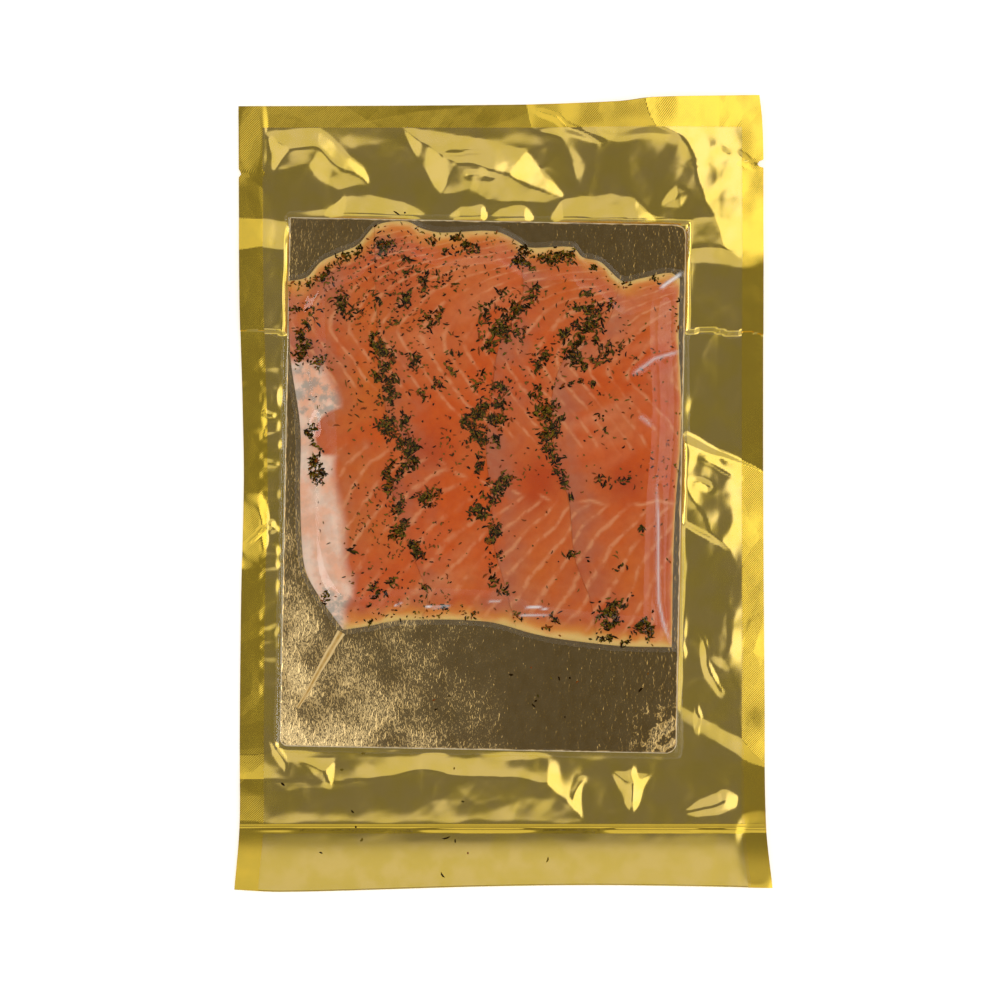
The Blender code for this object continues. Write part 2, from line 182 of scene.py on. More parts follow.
# Tilted patches of the foil: x, y, half width, half height, slope to the right, slope upwards
TILTS = [
    (-94, 132, 7, 18, 0.05, 0.00),
    (-94, 32, 7, 11, 0.04, -0.02),
    (-94, -14, 7, 15, 0.11, 0.04),
    (94, -135, 9, 18, 0.00, -0.03),
]
# Upper border of the foil that climbs to the board's top edge, (x, y), and how steeply and how far it climbs
CRESCENTS = [
    (-68, 102), (-59, 110.5), (-49, 112), (-38, 109.5), (-25.5, 102), (-21.5, 102), (-16, 107), (-8.5, 107.5),
    (-6.5, 102), (-1, 106), (8.5, 107), (12.5, 102), (15.5, 102), (21, 110.5), (39.5, 112), (49.5, 109.5), (58, 102),
]
CRESCENT_CLIMB = 0.12
CRESCENT_REACH = 11
# Fold above the weld, (x, y), below which the foil falls to its foot, and above which it falls to the board
LOW_FOLD = [
    (-90, -105), (-75, -106.5), (-61, -107), (-45, -104.5), (-24, -103), (0, -105.5), (16, -106.5), (24, -114),
    (30, -122),
]
LOW_FALL = 0.07
LOW_FOOT_Y = -122
BELOW_BOARD_Y = -96
# Fold right of the board, (y, x), right of which the foil falls to the seal. Its y is taken at one x, from which
# the border of each stretch runs on at a slant.
RIGHT_FOLD = [
    (-86, 98), (-80, 88.5), (-71.8, 88), (-56.5, 85), (-52.8, 82.5), (-15.7, 85.5), (-11.6, 85), (-10.5, 78),
    (-3.6, 74), (2, 69), (19, 67), (24, 98),
]
RIGHT_FOLD_X = 67
RIGHT_FOLD_SLANT = 0.55
RIGHT_FALL = 0.07
# Fold of the upper right corner, (y, x), and the slope at which the foil falls to the right of it
BRIGHT_CORNER = [(80, 97), (88, 86), (94, 80.5), (119, 72), (132, 66), (136, 57), (150, 52)]
CORNER_FALL = 0.11
# Where a fall to the right ends, and the width of the climb before it
FALL_END_X = 98
CLIMB_WIDTH = 45
FOIL_LEAST = 0.12  # lowest that the foil's upper side comes
PLEAT_HIGH = 0.07  # height of the pleats beside the left seal
# Small creased faces that stand up like low hipped roofs: slope of their sides, outline
ROOFS = [
    (0.13, [(-88, 134.5), (-68, 135.5), (-61, 128.5), (-52.5, 121), (-50, 114), (-62, 113), (-72, 121), (-86, 120.5)]),
    (0.13, [(-37, 135), (-13, 133), (-1, 130), (8.5, 128.5), (15.5, 119), (22.5, 111.5), (15.5, 108.5), (-7, 109),
            (-13, 113), (-22.5, 112), (-30, 122)]),
    (0.14, [(25, 135), (32, 135), (39, 131.5), (36.5, 129.5), (29.5, 132)]),
    (0.14, [(58, 107.5), (64.5, 114), (70, 111.5), (66, 105.5)]),
    (0.14, [(72.5, -51.5), (75, -53), (82.5, -73), (81, -76), (75, -68)]),
    (0.14, [(65, -53), (69, -59.5), (68, -63), (65.5, -59)]),
    (0.14, [(70.5, -76), (72.5, -78.5), (75, -83.5), (72.5, -91), (70.5, -88.5)]),
    (0.14, [(66.5, -118), (72.5, -114.5), (82.5, -109.5), (87.5, -112), (87, -116.5), (72.5, -120.5)]),
    (0.14, [(-88, -90), (-84, -92), (-79, -101), (-81, -104), (-86, -97)]),
    (0.14, [(-77, -100), (-62, -98), (-64, -110)]),
    (0.13, [(40, -103), (56, -104), (48, -119.5)]),
    (0.14, [(-88, 24), (-82.5, 22.5), (-88, 20)]),
    (0.14, [(-88, 13), (-82.5, 11), (-88, 9)]),
    (0.14, [(-88, -9), (-82.5, -12), (-88, -15)]),
]
# Sharp creases of the foil: points, height, width
CREASES = [
    ([(76, 128), (86, 125.5), (95.5, 122)], -0.5, 2.2),
    ([(10, 144.6), (24, 137), (36, 129.5)], 0.4, 2.0),
    ([(-90, 31), (-84, 29)], 0.3, 1.5),
    ([(-97, -21), (-89, -12), (-84, -11)], 0.45, 1.6),
    ([(67, 5), (79, 2.5)], -0.5, 2.4),
    ([(72, 14), (89, 5)], 0.25, 1.6),
    ([(-24, 126), (-6, 127.5)], -0.3, 1.6),
    ([(-15, 118), (-3, 118)], -0.3, 1.6),
    ([(48, -100), (47.8, -119)], 0.35, 2.5),
    ([(30, -104), (26, -115)], 0.25, 2.5),
]


def inside(x, y, points):
    """Whether places lie inside a polygon."""
    found = np.zeros(np.shape(x), bool)
    for (x0, y0), (x1, y1) in zip(points, points[1:] + points[:1]):
        if y0 != y1:
            found ^= ((y0 > y) != (y1 > y)) & (x < x0 + (y - y0) * (x1 - x0) / (y1 - y0))
    return found


def beside_board(x, y):
    """Distance outside the board's edges, negative within them."""
    dx, dy = x - BOARD_CENTRE[0], y - BOARD_CENTRE[1]
    across = dx * math.cos(BOARD_TURN) + dy * math.sin(BOARD_TURN)
    up = dy * math.cos(BOARD_TURN) - dx * math.sin(BOARD_TURN)
    return np.maximum(np.abs(across) - BOARD_SIZE[0] / 2, np.abs(up) - BOARD_SIZE[1] / 2)


def tilted(x, y, patch):
    """A patch that leans as a whole and eases back into the sheet round its edge."""
    px, py, half_x, half_y, slope_x, slope_y = patch
    dx, dy = x - px, y - py
    window = smooth((1 - (np.abs(dx / half_x) ** 3 + np.abs(dy / half_y) ** 3) ** (1 / 3)) / 0.45)
    return (slope_x * dx + slope_y * dy) * window


def fall_right(x, fold, fall):
    """Height of a sheet that climbs gently to a fold and falls to the right of it."""
    crest = fall * (FALL_END_X - fold)
    return np.maximum(np.minimum(crest * (1 + (x - fold) / CLIMB_WIDTH), crest - fall * (x - fold)), 0)


def folded(x, y):
    """Large flat faces of the foil between its folds."""
    z = fall_right(x, along(BRIGHT_CORNER, y), CORNER_FALL) * smooth((y - 82) / 10)
    slanted = y + RIGHT_FOLD_SLANT * (x - RIGHT_FOLD_X)
    z = z + fall_right(x, np.interp(slanted, *zip(*RIGHT_FOLD)), RIGHT_FALL)
    below = np.interp(x, *zip(*CRESCENTS)) - y
    z = z + CRESCENT_CLIMB * np.clip(below, 0, CRESCENT_REACH) * (y > 60)
    fold = np.interp(x, *zip(*LOW_FOLD))
    to_board = LOW_FALL * (fold - LOW_FOOT_Y) * np.clip((BELOW_BOARD_Y - y) / (BELOW_BOARD_Y - fold), 0, 1)
    return z + np.where(y < fold, LOW_FALL * np.maximum(y - LOW_FOOT_Y, 0), to_board)


def foil_high(x, y):
    """Upper side of the gold back sheet."""
    beside = beside_board(x, y)
    out = smooth((beside - 3) / 16)
    lift = EDGE_LIFT * (0.8 + 0.3 * uneven(x, y, 60, 3)) + CORNER_LIFT * smooth((x + y - 175) / 70)
    free = smooth((beside - 0.5) / 3)
    z = FOIL_LEVEL + out * lift
    for patch in TILTS:
        z = z + tilted(x, y, patch) * free
    z = z + 0.03 * np.clip(np.abs(x) - 80, 0, 20)
    wx, wy = warped(x, y, 1.3, 9, 101)
    close = smooth(beside - 0.3)
    z = z + folded(wx, wy) * close
    for slope, points in ROOFS:
        gap, _ = from_line(wx, wy, points + points[:1])
        z = z + slope * gap * inside(wx, wy, points) * close
    wx, wy = warped(x, y, 0.8, 5, 103)
    for points, height, width in CREASES:
        gap, share = from_line(wx, wy, points)
        fade = smooth(share * 4) * smooth((1 - share) * 4)
        z = z + height * np.clip(1 - gap / width, 0, 1) ** 1.5 * free * fade
    crumple = 0.26 * facets(x, y, 13, 21) + 0.09 * facets(x, y, 6, 24) + 0.02 * rough(x, y, 6, 31)
    loose = smooth((135 - y) / 6) * smooth((y + 121) / 6) * smooth((89 - np.abs(x)) / 5)
    z = z + free * mix(0.35, 1.0, loose) * crumple * smooth((y + 128) / 6 + 0.25)
    pleats = PLEAT_HIGH * np.sin(0.8 * y + 4.0 * uneven(x, y, 16, 41))
    pleats = pleats * smooth((-82.5 - x) / 2) * smooth((x + 91) / 2)
    z = z + pleats * smooth((60 - y) / 20) * smooth((y + 80) / 10)
    z = z + WELD_LIFT * smooth((-100 - y) / 24) * (1 - smooth((WELD_Y - 3 - y) / 30) * 1.2)
    return np.maximum(z, FOIL_LEAST)


def left_of(index, y):
    return along(LEFT_EDGE, y) if index == 0 else along(FOLDS[index - 1], y) - OVERLAP


def right_of(index, y):
    return along(FOLDS[index], y) if index < len(FOLDS) else along(RIGHT_EDGE, y)


def stack_thick(x, y):
    """Thickness of the pressed stack, thinned towards its outline."""
    left, right, top, bottom = THINNING
    sides = smooth((x - left_of(0, y)) / left) * smooth((along(RIGHT_EDGE, y) - x) / right)
    ends = smooth((along(STACK_TOP, x) - y) / top) * smooth((y - along(STACK_BOTTOM, x)) / bottom)
    return mix(STACK_RIM, STACK_THICK + 0.25 * uneven(x, y, 34, 50), sides * ends)


def curled(x, y):
    """Height of the first slice's turned-up left edge above the stack."""
    curl_x, curl_y, reach, height = CURL
    return height * smooth(1 - np.hypot(x - curl_x, y - curl_y) / reach)


def slice_low(index, x, y):
    """Underside of a slice: on the board, then up over the left edge of the next slice."""
    if index == len(FOLDS):
        return np.full(np.shape(x), SLICE_BASE)
    edge = left_of(index + 1, y)
    over = slice_high(index + 1, np.maximum(x, edge + 1), y) + SLICE_GAP
    return mix(SLICE_BASE, over, smooth((x - edge + 1.5 + RAMP) / RAMP))


def slice_high(index, x, y):
    """Top of a slice: a wedge under the slice before it, then flush with the stack up to its lip."""
    full = stack_thick(x, y)
    if index > 0:
        share = (x - left_of(index, y)) / OVERLAP
        full = full * (mix(*WEDGE, np.minimum(share, 1)) + (1 - WEDGE[1]) * smooth((share - 1) / 0.3))
    lip = LIP * smooth((x - right_of(index, y)) / LIP_REACH + 1) if index < len(FOLDS) else 0
    curl = curled(x, y) if index == 0 else 0
    return np.maximum(SLICE_BASE + full + lip, slice_low(index, x, y) + THINNEST) + curl


def within_fish(x, y):
    """Distance inside the outline of the fish, negative outside it."""
    across = np.minimum(x - left_of(0, y), along(RIGHT_EDGE, y) - x)
    return np.minimum(across, np.minimum(along(STACK_TOP, x) - y, y - along(STACK_BOTTOM, x)))


def fish_high(x, y):
    """Top of the stack of slices, and zero where there is none."""
    height = slice_high(len(FOLDS), x, y)
    for index in range(len(FOLDS) - 1, -1, -1):
        height = np.where(x <= right_of(index, y), slice_high(index, x, y), height)
    return np.where(within_fish(x, y) >= 0, height + relief(x, y), 0.0)


# The muscle lines run up to the right at both ends of the fish and down to the right between them. APEX is
# where they turn at the top and SEAM where they meet the middle line, both (x, y). LEAN is how far a line has
# moved left at a height above the apex, and SEAM_LEAN at a height above the seam.
APEX = [(-80, 64), (-40, 60), (5, 53), (45, 44), (66, 43)]
SEAM = [(-80, 20), (-50, 18), (-31, 14), (-12, 5), (7, -0.5), (32, -4), (66, -4)]
LEAN = [(-45, -42), (-8, -8), (0, -2), (8, -6), (17, -14), (24, -25), (32, -44), (50, -95)]
SEAM_LEAN = [(-62, 44), (-40, 31), (-12, 11), (0, 0)]
LINE_SPACING = 7.4


def muscle_phase(x, y):
    """Runs up by one from each muscle line to the next."""
    apex, seam = along(APEX, x), along(SEAM, x)
    bend = along(LEAN, np.maximum(y, seam) - apex) + along(SEAM_LEAN, np.minimum(y - seam, 0))
    loose = 3.0 * uneven(x, y, 30, 61) + 1.2 * uneven(x, y, 9, 62)
    return (x + bend + loose) / LINE_SPACING


def lined(x, y):
    """How clearly the muscle lines show: not at all in the smooth band above the middle line."""
    above = y - along(SEAM, x)
    return 1 - smooth((above + 3) / 5) * smooth((24 - above) / 6)


def relief(x, y):
    """Shallow steps between the muscle layers, and the unevenness of a hand-cut face."""
    phase = muscle_phase(x, y) % 1
    step = 0.07 * np.exp(-((phase - 0.5) / 0.42) ** 2) * lined(x, y)
    return step + 0.05 * rough(x, y, 11, 71)


# ---- Mesh helpers ----


def grid_faces(rows, columns, first=0, flip=False):
    """Quads of a grid of points numbered row by row."""
    index = first + np.arange(rows * columns).reshape(rows, columns)
    quads = np.stack([index[:-1, :-1], index[:-1, 1:], index[1:, 1:], index[1:, :-1]], axis=-1).reshape(-1, 4)
    return (quads[:, ::-1] if flip else quads).tolist()


def new_piece(name, points, faces, *finishes, smoothly=True):
    """Object on the pack's one body, from points in millimetres."""
    mesh = bpy.data.meshes.new(name)
    mesh.from_pydata((np.asarray(points) * MM).tolist(), [], faces)
    for finish in finishes:
        mesh.materials.append(finish)
    if smoothly:
        mesh.shade_smooth()
    mesh.update()
    made = bpy.data.objects.new(name, mesh)
    bpy.context.scene.collection.objects.link(made)
    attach(made, "root")
    return made


def paint(piece, name, values):
    """Store one number per point for the materials to read."""
    layer = piece.data.attributes.new(name, "FLOAT", "POINT")
    layer.data.foreach_set("value", np.asarray(values, np.float32).ravel())


def stack(x, y, z):
    return np.stack([np.ravel(x), np.ravel(y), np.ravel(z)], axis=1)


def sheet(name, x, y, z, finish):
    rows, columns = np.shape(x)
    return new_piece(name, stack(x, y, z), grid_faces(rows, columns), finish)


UNDER_EVERY = 4  # a closed sheet's underside has one point for so many of its top


def lowest_near(z, reach):
    """Lowest height within reach grid steps of each point."""
    rows, columns = z.shape
    around = np.pad(z, reach, mode="edge")
    shifts = range(2 * reach + 1)
    return np.min([around[i:i + rows, j:j + columns] for i in shifts for j in shifts], axis=0)


def round_rim(index):
    """Point numbers round the outside of a grid, from its first corner."""
    return np.concatenate([index[0, :-1], index[:-1, -1], index[-1, :0:-1], index[:0:-1, 0]])


def closed_sheet(name, x, y, z, thick, finish):
    """Sheet with a coarser underside and a rim between the two."""
    rows, columns = z.shape
    some = (slice(None, None, UNDER_EVERY), slice(None, None, UNDER_EVERY))
    low = np.maximum(lowest_near(z, UNDER_EVERY) - thick, 0.0)[some]
    points = np.concatenate([stack(x, y, z), stack(x[some], y[some], low)])
    faces = grid_faces(rows, columns) + grid_faces(*low.shape, rows * columns, flip=True)
    upper = round_rim(np.arange(rows * columns).reshape(rows, columns)).tolist()
    lower = round_rim(rows * columns + np.arange(low.size).reshape(low.shape)).tolist()
    upper, lower = upper + upper[:1], lower + lower[:1]
    for k in range(len(lower) - 1):
        start = k * UNDER_EVERY
        faces.append([lower[k], lower[k + 1], *upper[start:start + UNDER_EVERY + 1][::-1]])
    return new_piece(name, points, faces, finish)


def slab(name, x, y, low, high, finish):
    """Closed solid between two heights over the same grid."""
    rows, columns = np.shape(x)
    count = rows * columns
    points = np.concatenate([stack(x, y, high), stack(x, y, low)])
    faces = grid_faces(rows, columns) + grid_faces(rows, columns, count, flip=True)
    rim = round_rim(np.arange(count).reshape(rows, columns))
    after = np.roll(rim, -1)
    faces += np.stack([rim, rim + count, after + count, after], axis=1).tolist()
    made = new_piece(name, points, faces, finish)
    # Flat walls keep the tops' shading from turning down at their edges
    made.data.polygons.foreach_set("use_smooth", np.arange(len(faces)) < len(faces) - len(rim))
    return made


# ---- Material helpers ----


def add(tree, kind, inputs=None, **settings):
    """Node with its settings, each input given as a value or as the socket that feeds it."""
    made = tree.nodes.new(kind)
    for name, value in settings.items():
        setattr(made, name, value)
    for name, value in (inputs or {}).items():
        if isinstance(value, bpy.types.NodeSocket):
            tree.links.new(value, made.inputs[name])
        else:
            made.inputs[name].default_value = value
    return made


def new_material(name):
    """Material with its Principled shader, and its node tree."""
    made = bpy.data.materials.new(name)
    made.use_nodes = True
    return made, made.node_tree, made.node_tree.nodes["Principled BSDF"]


def places(tree, stretch=(1, 1, 1)):
    """Object coordinates in millimetres, divided by stretch."""
    found = add(tree, "ShaderNodeTexCoord").outputs["Object"]
    scale = tuple(1 / MM / s for s in stretch)
    return add(tree, "ShaderNodeMapping", {"Vector": found, "Scale": scale}).outputs["Vector"]


def noise(tree, vector, scale, detail, roughness=0.5):
    values = {"Vector": vector, "Scale": scale, "Detail": detail, "Roughness": roughness}
    return add(tree, "ShaderNodeTexNoise", values).outputs["Fac"]


def maths(tree, operation, *values):
    return add(tree, "ShaderNodeMath", dict(enumerate(values)), operation=operation).outputs[0]


def times(tree, product, *factors):
    for factor in factors:
        product = maths(tree, "MULTIPLY", product, factor)
    return product


def span(tree, value, low, high, to_low=0.0, to_high=1.0, kind="SMOOTHSTEP"):
    """Value mapped from low..high onto to_low..to_high and held there."""
    values = {"Value": value, "From Min": low, "From Max": high, "To Min": to_low, "To Max": to_high}
    return add(tree, "ShaderNodeMapRange", values, interpolation_type=kind).outputs["Result"]


def blend(tree, share, a, b):
    """Colour between a and b, each a colour or a socket."""
    made = add(tree, "ShaderNodeMix", data_type="RGBA")
    for number, value in ((0, share), (6, a), (7, b)):
        if isinstance(value, bpy.types.NodeSocket):
            tree.links.new(value, made.inputs[number])
        else:
            made.inputs[number].default_value = value if number == 0 else (*value[:3], 1)
    return made.outputs[2]


def attribute(tree, name):
    return add(tree, "ShaderNodeAttribute", attribute_name=name).outputs["Fac"]


def bump(tree, height, strength, distance_mm):
    values = {"Height": height, "Strength": strength, "Distance": distance_mm * MM}
    return add(tree, "ShaderNodeBump", values).outputs["Normal"]


def feed(tree, shader, **sockets):
    """Link or set the shader's inputs; spaces in their names are written as underscores."""
    for name, value in sockets.items():
        target = shader.inputs[name.replace("_", " ")]
        if isinstance(value, bpy.types.NodeSocket):
            tree.links.new(value, target)
        else:
            target.default_value = (*value, 1) if isinstance(value, tuple) and len(value) == 3 else value


# ---- Materials ----


def gold_material(name, colour, deep, roughness, coat):
    """Metallised gold laminate with a faint mottle; the coat is the clear film welded to it."""
    made, tree, shader = new_material(name)
    at = places(tree)
    mottle = noise(tree, at, 0.12, 3)
    tint = blend(tree, span(tree, mottle, 0.35, 0.65), colour, deep)
    grain = noise(tree, at, 2.2, 3)
    feed(tree, shader, Base_Color=tint, Metallic=1.0, Normal=bump(tree, grain, 0.05, 0.02), Coat_Weight=coat,
         Coat_Roughness=0.08, Roughness=span(tree, mottle, 0.3, 0.7, roughness, roughness + 0.03))
    return made


FILM_GLOSS = 0.032  # share of light that the film reflects straight on


def film_material():
    """Clear film: mostly open, glossy at a glance, with white glints painted along its creases as a matte white."""
    made = bpy.data.materials.new("clear_film")
    made.use_nodes = True
    tree = made.node_tree
    tree.nodes.clear()
    at = places(tree)
    ripple = bump(tree, noise(tree, at, 0.4, 3), 0.10, 0.04)
    open_side = add(tree, "ShaderNodeBsdfTransparent", {"Color": (0.985, 0.98, 0.965, 1)})
    shine = add(tree, "ShaderNodeBsdfGlossy", {"Color": (1, 1, 1, 1), "Roughness": 0.06, "Normal": ripple})
    # Schlick's rule, alike on both sides: a Fresnel node would shut in the light that leaves at a slant
    facing = add(tree, "ShaderNodeLayerWeight", {"Blend": 0.5, "Normal": ripple}).outputs["Facing"]
    glancing = maths(tree, "POWER", facing, 5.0)
    share = span(tree, glancing, 0.0, 1.0, FILM_GLOSS, 1.0, "LINEAR")
    clear = add(tree, "ShaderNodeMixShader", {0: share, 1: open_side.outputs[0], 2: shine.outputs[0]})
    # Painted highlight: a matte white, mixed in along the creases, stands in for the film's glints
    painted_glint = add(tree, "ShaderNodeBsdfDiffuse", {"Color": (0.95, 0.93, 0.90, 1)}).outputs[0]
    whole = add(tree, "ShaderNodeMixShader", {0: attribute(tree, "painted_glint"), 1: clear.outputs[0], 2: painted_glint})
    add(tree, "ShaderNodeOutputMaterial", {"Surface": whole.outputs[0]})
    return made


BRONZE = (0.420, 0.262, 0.070)
BRONZE_PALE = (0.470, 0.310, 0.105)
# Pale colour of the painted sparkle at the lower left, and of the scuffs at the lower right
BRONZE_GLINTS_AND_SCUFFS = (0.950, 0.700, 0.330)


def board_material():
    """Bronze foil over card: hammered by the upright grain of the card, most towards its lower left corner, where pale
    sparkle is painted on as a painted highlight, and at the pale scuffs of its lower right.
    """
    made, tree, shader = new_material("board_foil")
    fine = noise(tree, places(tree, (1.1, 2.2, 1)), 1.0, 2)
    coarse = noise(tree, places(tree, (3.0, 5.0, 1)), 1.0, 3)
    place = add(tree, "ShaderNodeSeparateXYZ", {0: places(tree)}).outputs
    patchy = span(tree, noise(tree, places(tree), 0.07, 3), 0.30, 0.70, 0.55, 1.15)
    # Painted highlight: pale sparkle painted over the board, strongest at its lower left corner
    leftward = span(tree, place["X"], 30.0, -80.0, 0.0, 1.0, "LINEAR")
    downward = span(tree, place["Y"], 30.0, -95.0, 0.25, 1.0, "LINEAR")
    painted_glints_and_scuffs = maths(tree, "POWER", times(tree, leftward, patchy, downward), 1.5)
    # Pale scuffs at the lower right corner, joined to the painted sparkle
    low_right = times(tree, span(tree, place["Y"], -72.0, -90.0), span(tree, place["X"], 40.0, 62.0))
    scuffed = times(tree, low_right, span(tree, noise(tree, places(tree), 0.25, 4), 0.48, 0.60), 0.4)
    painted_glints_and_scuffs = maths(tree, "MAXIMUM", painted_glints_and_scuffs, scuffed)
    deep = span(tree, painted_glints_and_scuffs, 0.05, 1.0, 0.14, 0.85, "LINEAR")
    base = blend(tree, span(tree, coarse, 0.3, 0.7), BRONZE, BRONZE_PALE)
    base = blend(tree, painted_glints_and_scuffs, base, BRONZE_GLINTS_AND_SCUFFS)
    height = times(tree, maths(tree, "ADD", fine, times(tree, coarse, 0.9)), deep)
    feed(tree, shader, Base_Color=base, Metallic=1.0, Normal=bump(tree, height, 1.0, 0.50),
         Roughness=0.07, Specular_IOR_Level=0.1)
    return made


def card_material():
    """Pale cut edge of the card."""
    made, tree, shader = new_material("card_edge")
    fibres = noise(tree, places(tree), 1.6, 4)
    feed(tree, shader, Base_Color=blend(tree, fibres, (0.60, 0.45, 0.24), (0.82, 0.70, 0.50)), Roughness=0.7)
    return made


FLESH = (0.630, 0.098, 0.006)
FLESH_PINK = (0.610, 0.124, 0.020)
FLESH_GREY = (0.480, 0.146, 0.068)
FLESH_ORANGE = (0.620, 0.145, 0.010)
FLESH_DEEP = (0.440, 0.046, 0.005)
# Paler side of each muscle flake: painted shading of the flakes' tilt
PAINTED_FLAKE_LIGHT = (0.660, 0.196, 0.062)
FAT_LINE = (0.760, 0.340, 0.150)
PALE_BAND = (0.720, 0.270, 0.120)
RIM = (0.760, 0.290, 0.035)
CREAM = (0.800, 0.530, 0.160)
SILVER = (0.880, 0.620, 0.470)
SILVER_PINK = (0.860, 0.440, 0.270)
SILVER_GREY = (0.300, 0.300, 0.260)


def fish_material():
    """Cured salmon: orange flesh with pale muscle lines, cream rims and a silvery fat side."""
    made, tree, shader = new_material("salmon")
    at = places(tree)
    worm = noise(tree, at, 0.22, 3)
    wander = times(tree, maths(tree, "SUBTRACT", worm, 0.5), 0.30)
    saw = maths(tree, "FRACT", maths(tree, "ADD", attribute(tree, "muscle"), wander))
    edge = maths(tree, "ABSOLUTE", maths(tree, "SUBTRACT", saw, 0.5))
    line = span(tree, edge, 0.300, 0.490)
    # Painted shading: rises across each muscle flake towards the line ahead of it
    glow = span(tree, saw, 0.25, 1.0)
    stretches = span(tree, noise(tree, at, 0.07, 3), 0.36, 0.58, 0.15, 1.0)
    gaps = span(tree, noise(tree, at, 0.28, 2), 0.36, 0.58, 0.25, 1.0)
    shown = times(tree, stretches, gaps, attribute(tree, "lined"))
    body = blend(tree, span(tree, noise(tree, at, 0.050, 3), 0.42, 0.58), FLESH, FLESH_PINK)
    patches = span(tree, noise(tree, at, 0.09, 3), 0.38, 0.58, 0.25, 1.0)
    body = blend(tree, times(tree, attribute(tree, "fresh"), patches), body, FLESH_GREY)
    for name, colour in (("banded", PALE_BAND), ("orange", FLESH_ORANGE), ("deep", FLESH_DEEP)):
        body = blend(tree, attribute(tree, name), body, colour)
    body = blend(tree, span(tree, noise(tree, at, 0.30, 3), 0.35, 0.65, 0.0, 0.22), body, FLESH_DEEP)
    # Painted shading: each muscle flake is painted lighter towards the line ahead of it
    body = blend(tree, times(tree, glow, shown, 0.36), body, PAINTED_FLAKE_LIGHT)
    body = blend(tree, times(tree, line, shown, 0.55), body, FAT_LINE)
    silver = blend(tree, span(tree, noise(tree, at, 0.12, 4), 0.35, 0.65), SILVER, SILVER_PINK)
    mottled = span(tree, noise(tree, at, 0.26, 4, 0.6), 0.44, 0.62, 0.0, 0.85)
    patchy = maths(tree, "MAXIMUM", attribute(tree, "grey"), 0.18)
    silver = blend(tree, times(tree, mottled, patchy), silver, SILVER_GREY)
    for name, colour in (("seam", FAT_LINE), ("rim", RIM), ("cream", CREAM), ("silver", silver)):
        body = blend(tree, attribute(tree, name), body, colour)
    height = maths(tree, "ADD", times(tree, line, -0.4), noise(tree, at, 0.8, 4))
    feed(tree, shader, Base_Color=body, Roughness=0.5, Subsurface_Weight=0.15, Specular_IOR_Level=0.1,
         Normal=bump(tree, height, 0.25, 0.15))
    shader.inputs["Subsurface Radius"].default_value = (1.0, 0.35, 0.18)
    shader.inputs["Subsurface Scale"].default_value = 1.6 * MM
    return made


def dill_material():
    """Dried dill, from dark green to olive and brown, one tone for each flake."""
    made, tree, shader = new_material("dill")
    tone = attribute(tree, "tone")
    tint = blend(tree, span(tree, tone, 0.30, 0.50), (0.018, 0.008, 0.001), (0.062, 0.044, 0.004))
    tint = blend(tree, span(tree, tone, 0.62, 0.74), tint, (0.170, 0.112, 0.010))
    tint = blend(tree, span(tree, tone, 0.80, 0.88), tint, (0.220, 0.052, 0.005))
    feed(tree, shader, Base_Color=tint, Roughness=0.7, Specular_IOR_Level=0.02)
    return made


def strand_material():
    made, tree, shader = new_material("strand_fish")
    share = attribute(tree, "across")
    wisps = noise(tree, places(tree), 0.5, 3)
    from_middle = maths(tree, "ABSOLUTE", maths(tree, "SUBTRACT", share, 0.5))
    tint = blend(tree, span(tree, from_middle, 0.08, 0.32), (0.46, 0.26, 0.06), (0.80, 0.57, 0.24))
    tint = blend(tree, span(tree, wisps, 0.4, 0.7, 0.0, 0.5), tint, (0.68, 0.46, 0.19))
    feed(tree, shader, Base_Color=tint, Roughness=0.4, Specular_IOR_Level=0.15)
    return made


GOLD = gold_material("gold_foil", (0.90, 0.65, 0.16), (0.86, 0.62, 0.10), 0.09, 0.0)
GOLD_SEAL = gold_material("gold_seal", (0.92, 0.61, 0.035), (0.86, 0.58, 0.035), 0.10, 1.0)
FILM = film_material()
BOARD = board_material()
CARD = card_material()
FISH = fish_material()
DILL = dill_material()
STRAND_FISH = strand_material()


# ---- Pouch ----

# Tear notches: y, depth, half height
NOTCH_LEFT = (119, 1.1, 1.5)
NOTCH_RIGHT = (122.5, 2.2, 1.5)
FOIL_STEP = 0.8
FOIL_THICK = 0.08
CRIMP = 0.010  # height of the seals' embossing, and its pitch
CRIMP_PITCH = 0.42


def side_left(y):
    at, depth, half = NOTCH_LEFT
    return along(SIDE_LEFT, y) + depth * np.clip(1 - np.abs(y - at) / half, 0, 1)


def side_right(y):
    at, depth, half = NOTCH_RIGHT
    return along(SIDE_RIGHT, y) - depth * smooth((half - np.abs(y - at)) / 0.8)


def pouch_grid(step, left, right, bottom, top):
    """Grid of places between side curves and end curves, about step apart."""
    columns, rows = (UNDER_EVERY * round(length / step / UNDER_EVERY) + 1 for length in (197, 294))
    across, up = np.meshgrid(np.linspace(0, 1, columns), np.linspace(0, 1, rows))
    rough_x = mix(-98.0, 97.0, across)
    y = mix(bottom(rough_x), top(rough_x), up)
    return mix(left(y), right(y), across), y


def band(name, columns, rows, x_of, y_of, emboss):
    """Strip of sealed foil over the back sheet, embossed point by point in a diamond pattern."""
    u, v = np.meshgrid(np.linspace(0, 1, columns), np.linspace(0, 1, rows))
    y = y_of(u, v)
    x = x_of(u, y)
    i, j = np.meshgrid(np.arange(columns), np.arange(rows))
    raised = np.where((i + j) % 2, emboss, 0.0)
    made = sheet(name, x, y, foil_high(x, y) + 0.10 + raised, GOLD_SEAL)
    if emboss:
        made.data.shade_flat()
    return made


def make_foil():
    x, y = pouch_grid(FOIL_STEP, side_left, side_right,
                      lambda x: along(END_BOTTOM, x), lambda x: along(END_TOP, x))
    foil = closed_sheet("foil", x, y, foil_high(x, y), FOIL_THICK, GOLD)
    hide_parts("pouch_back")


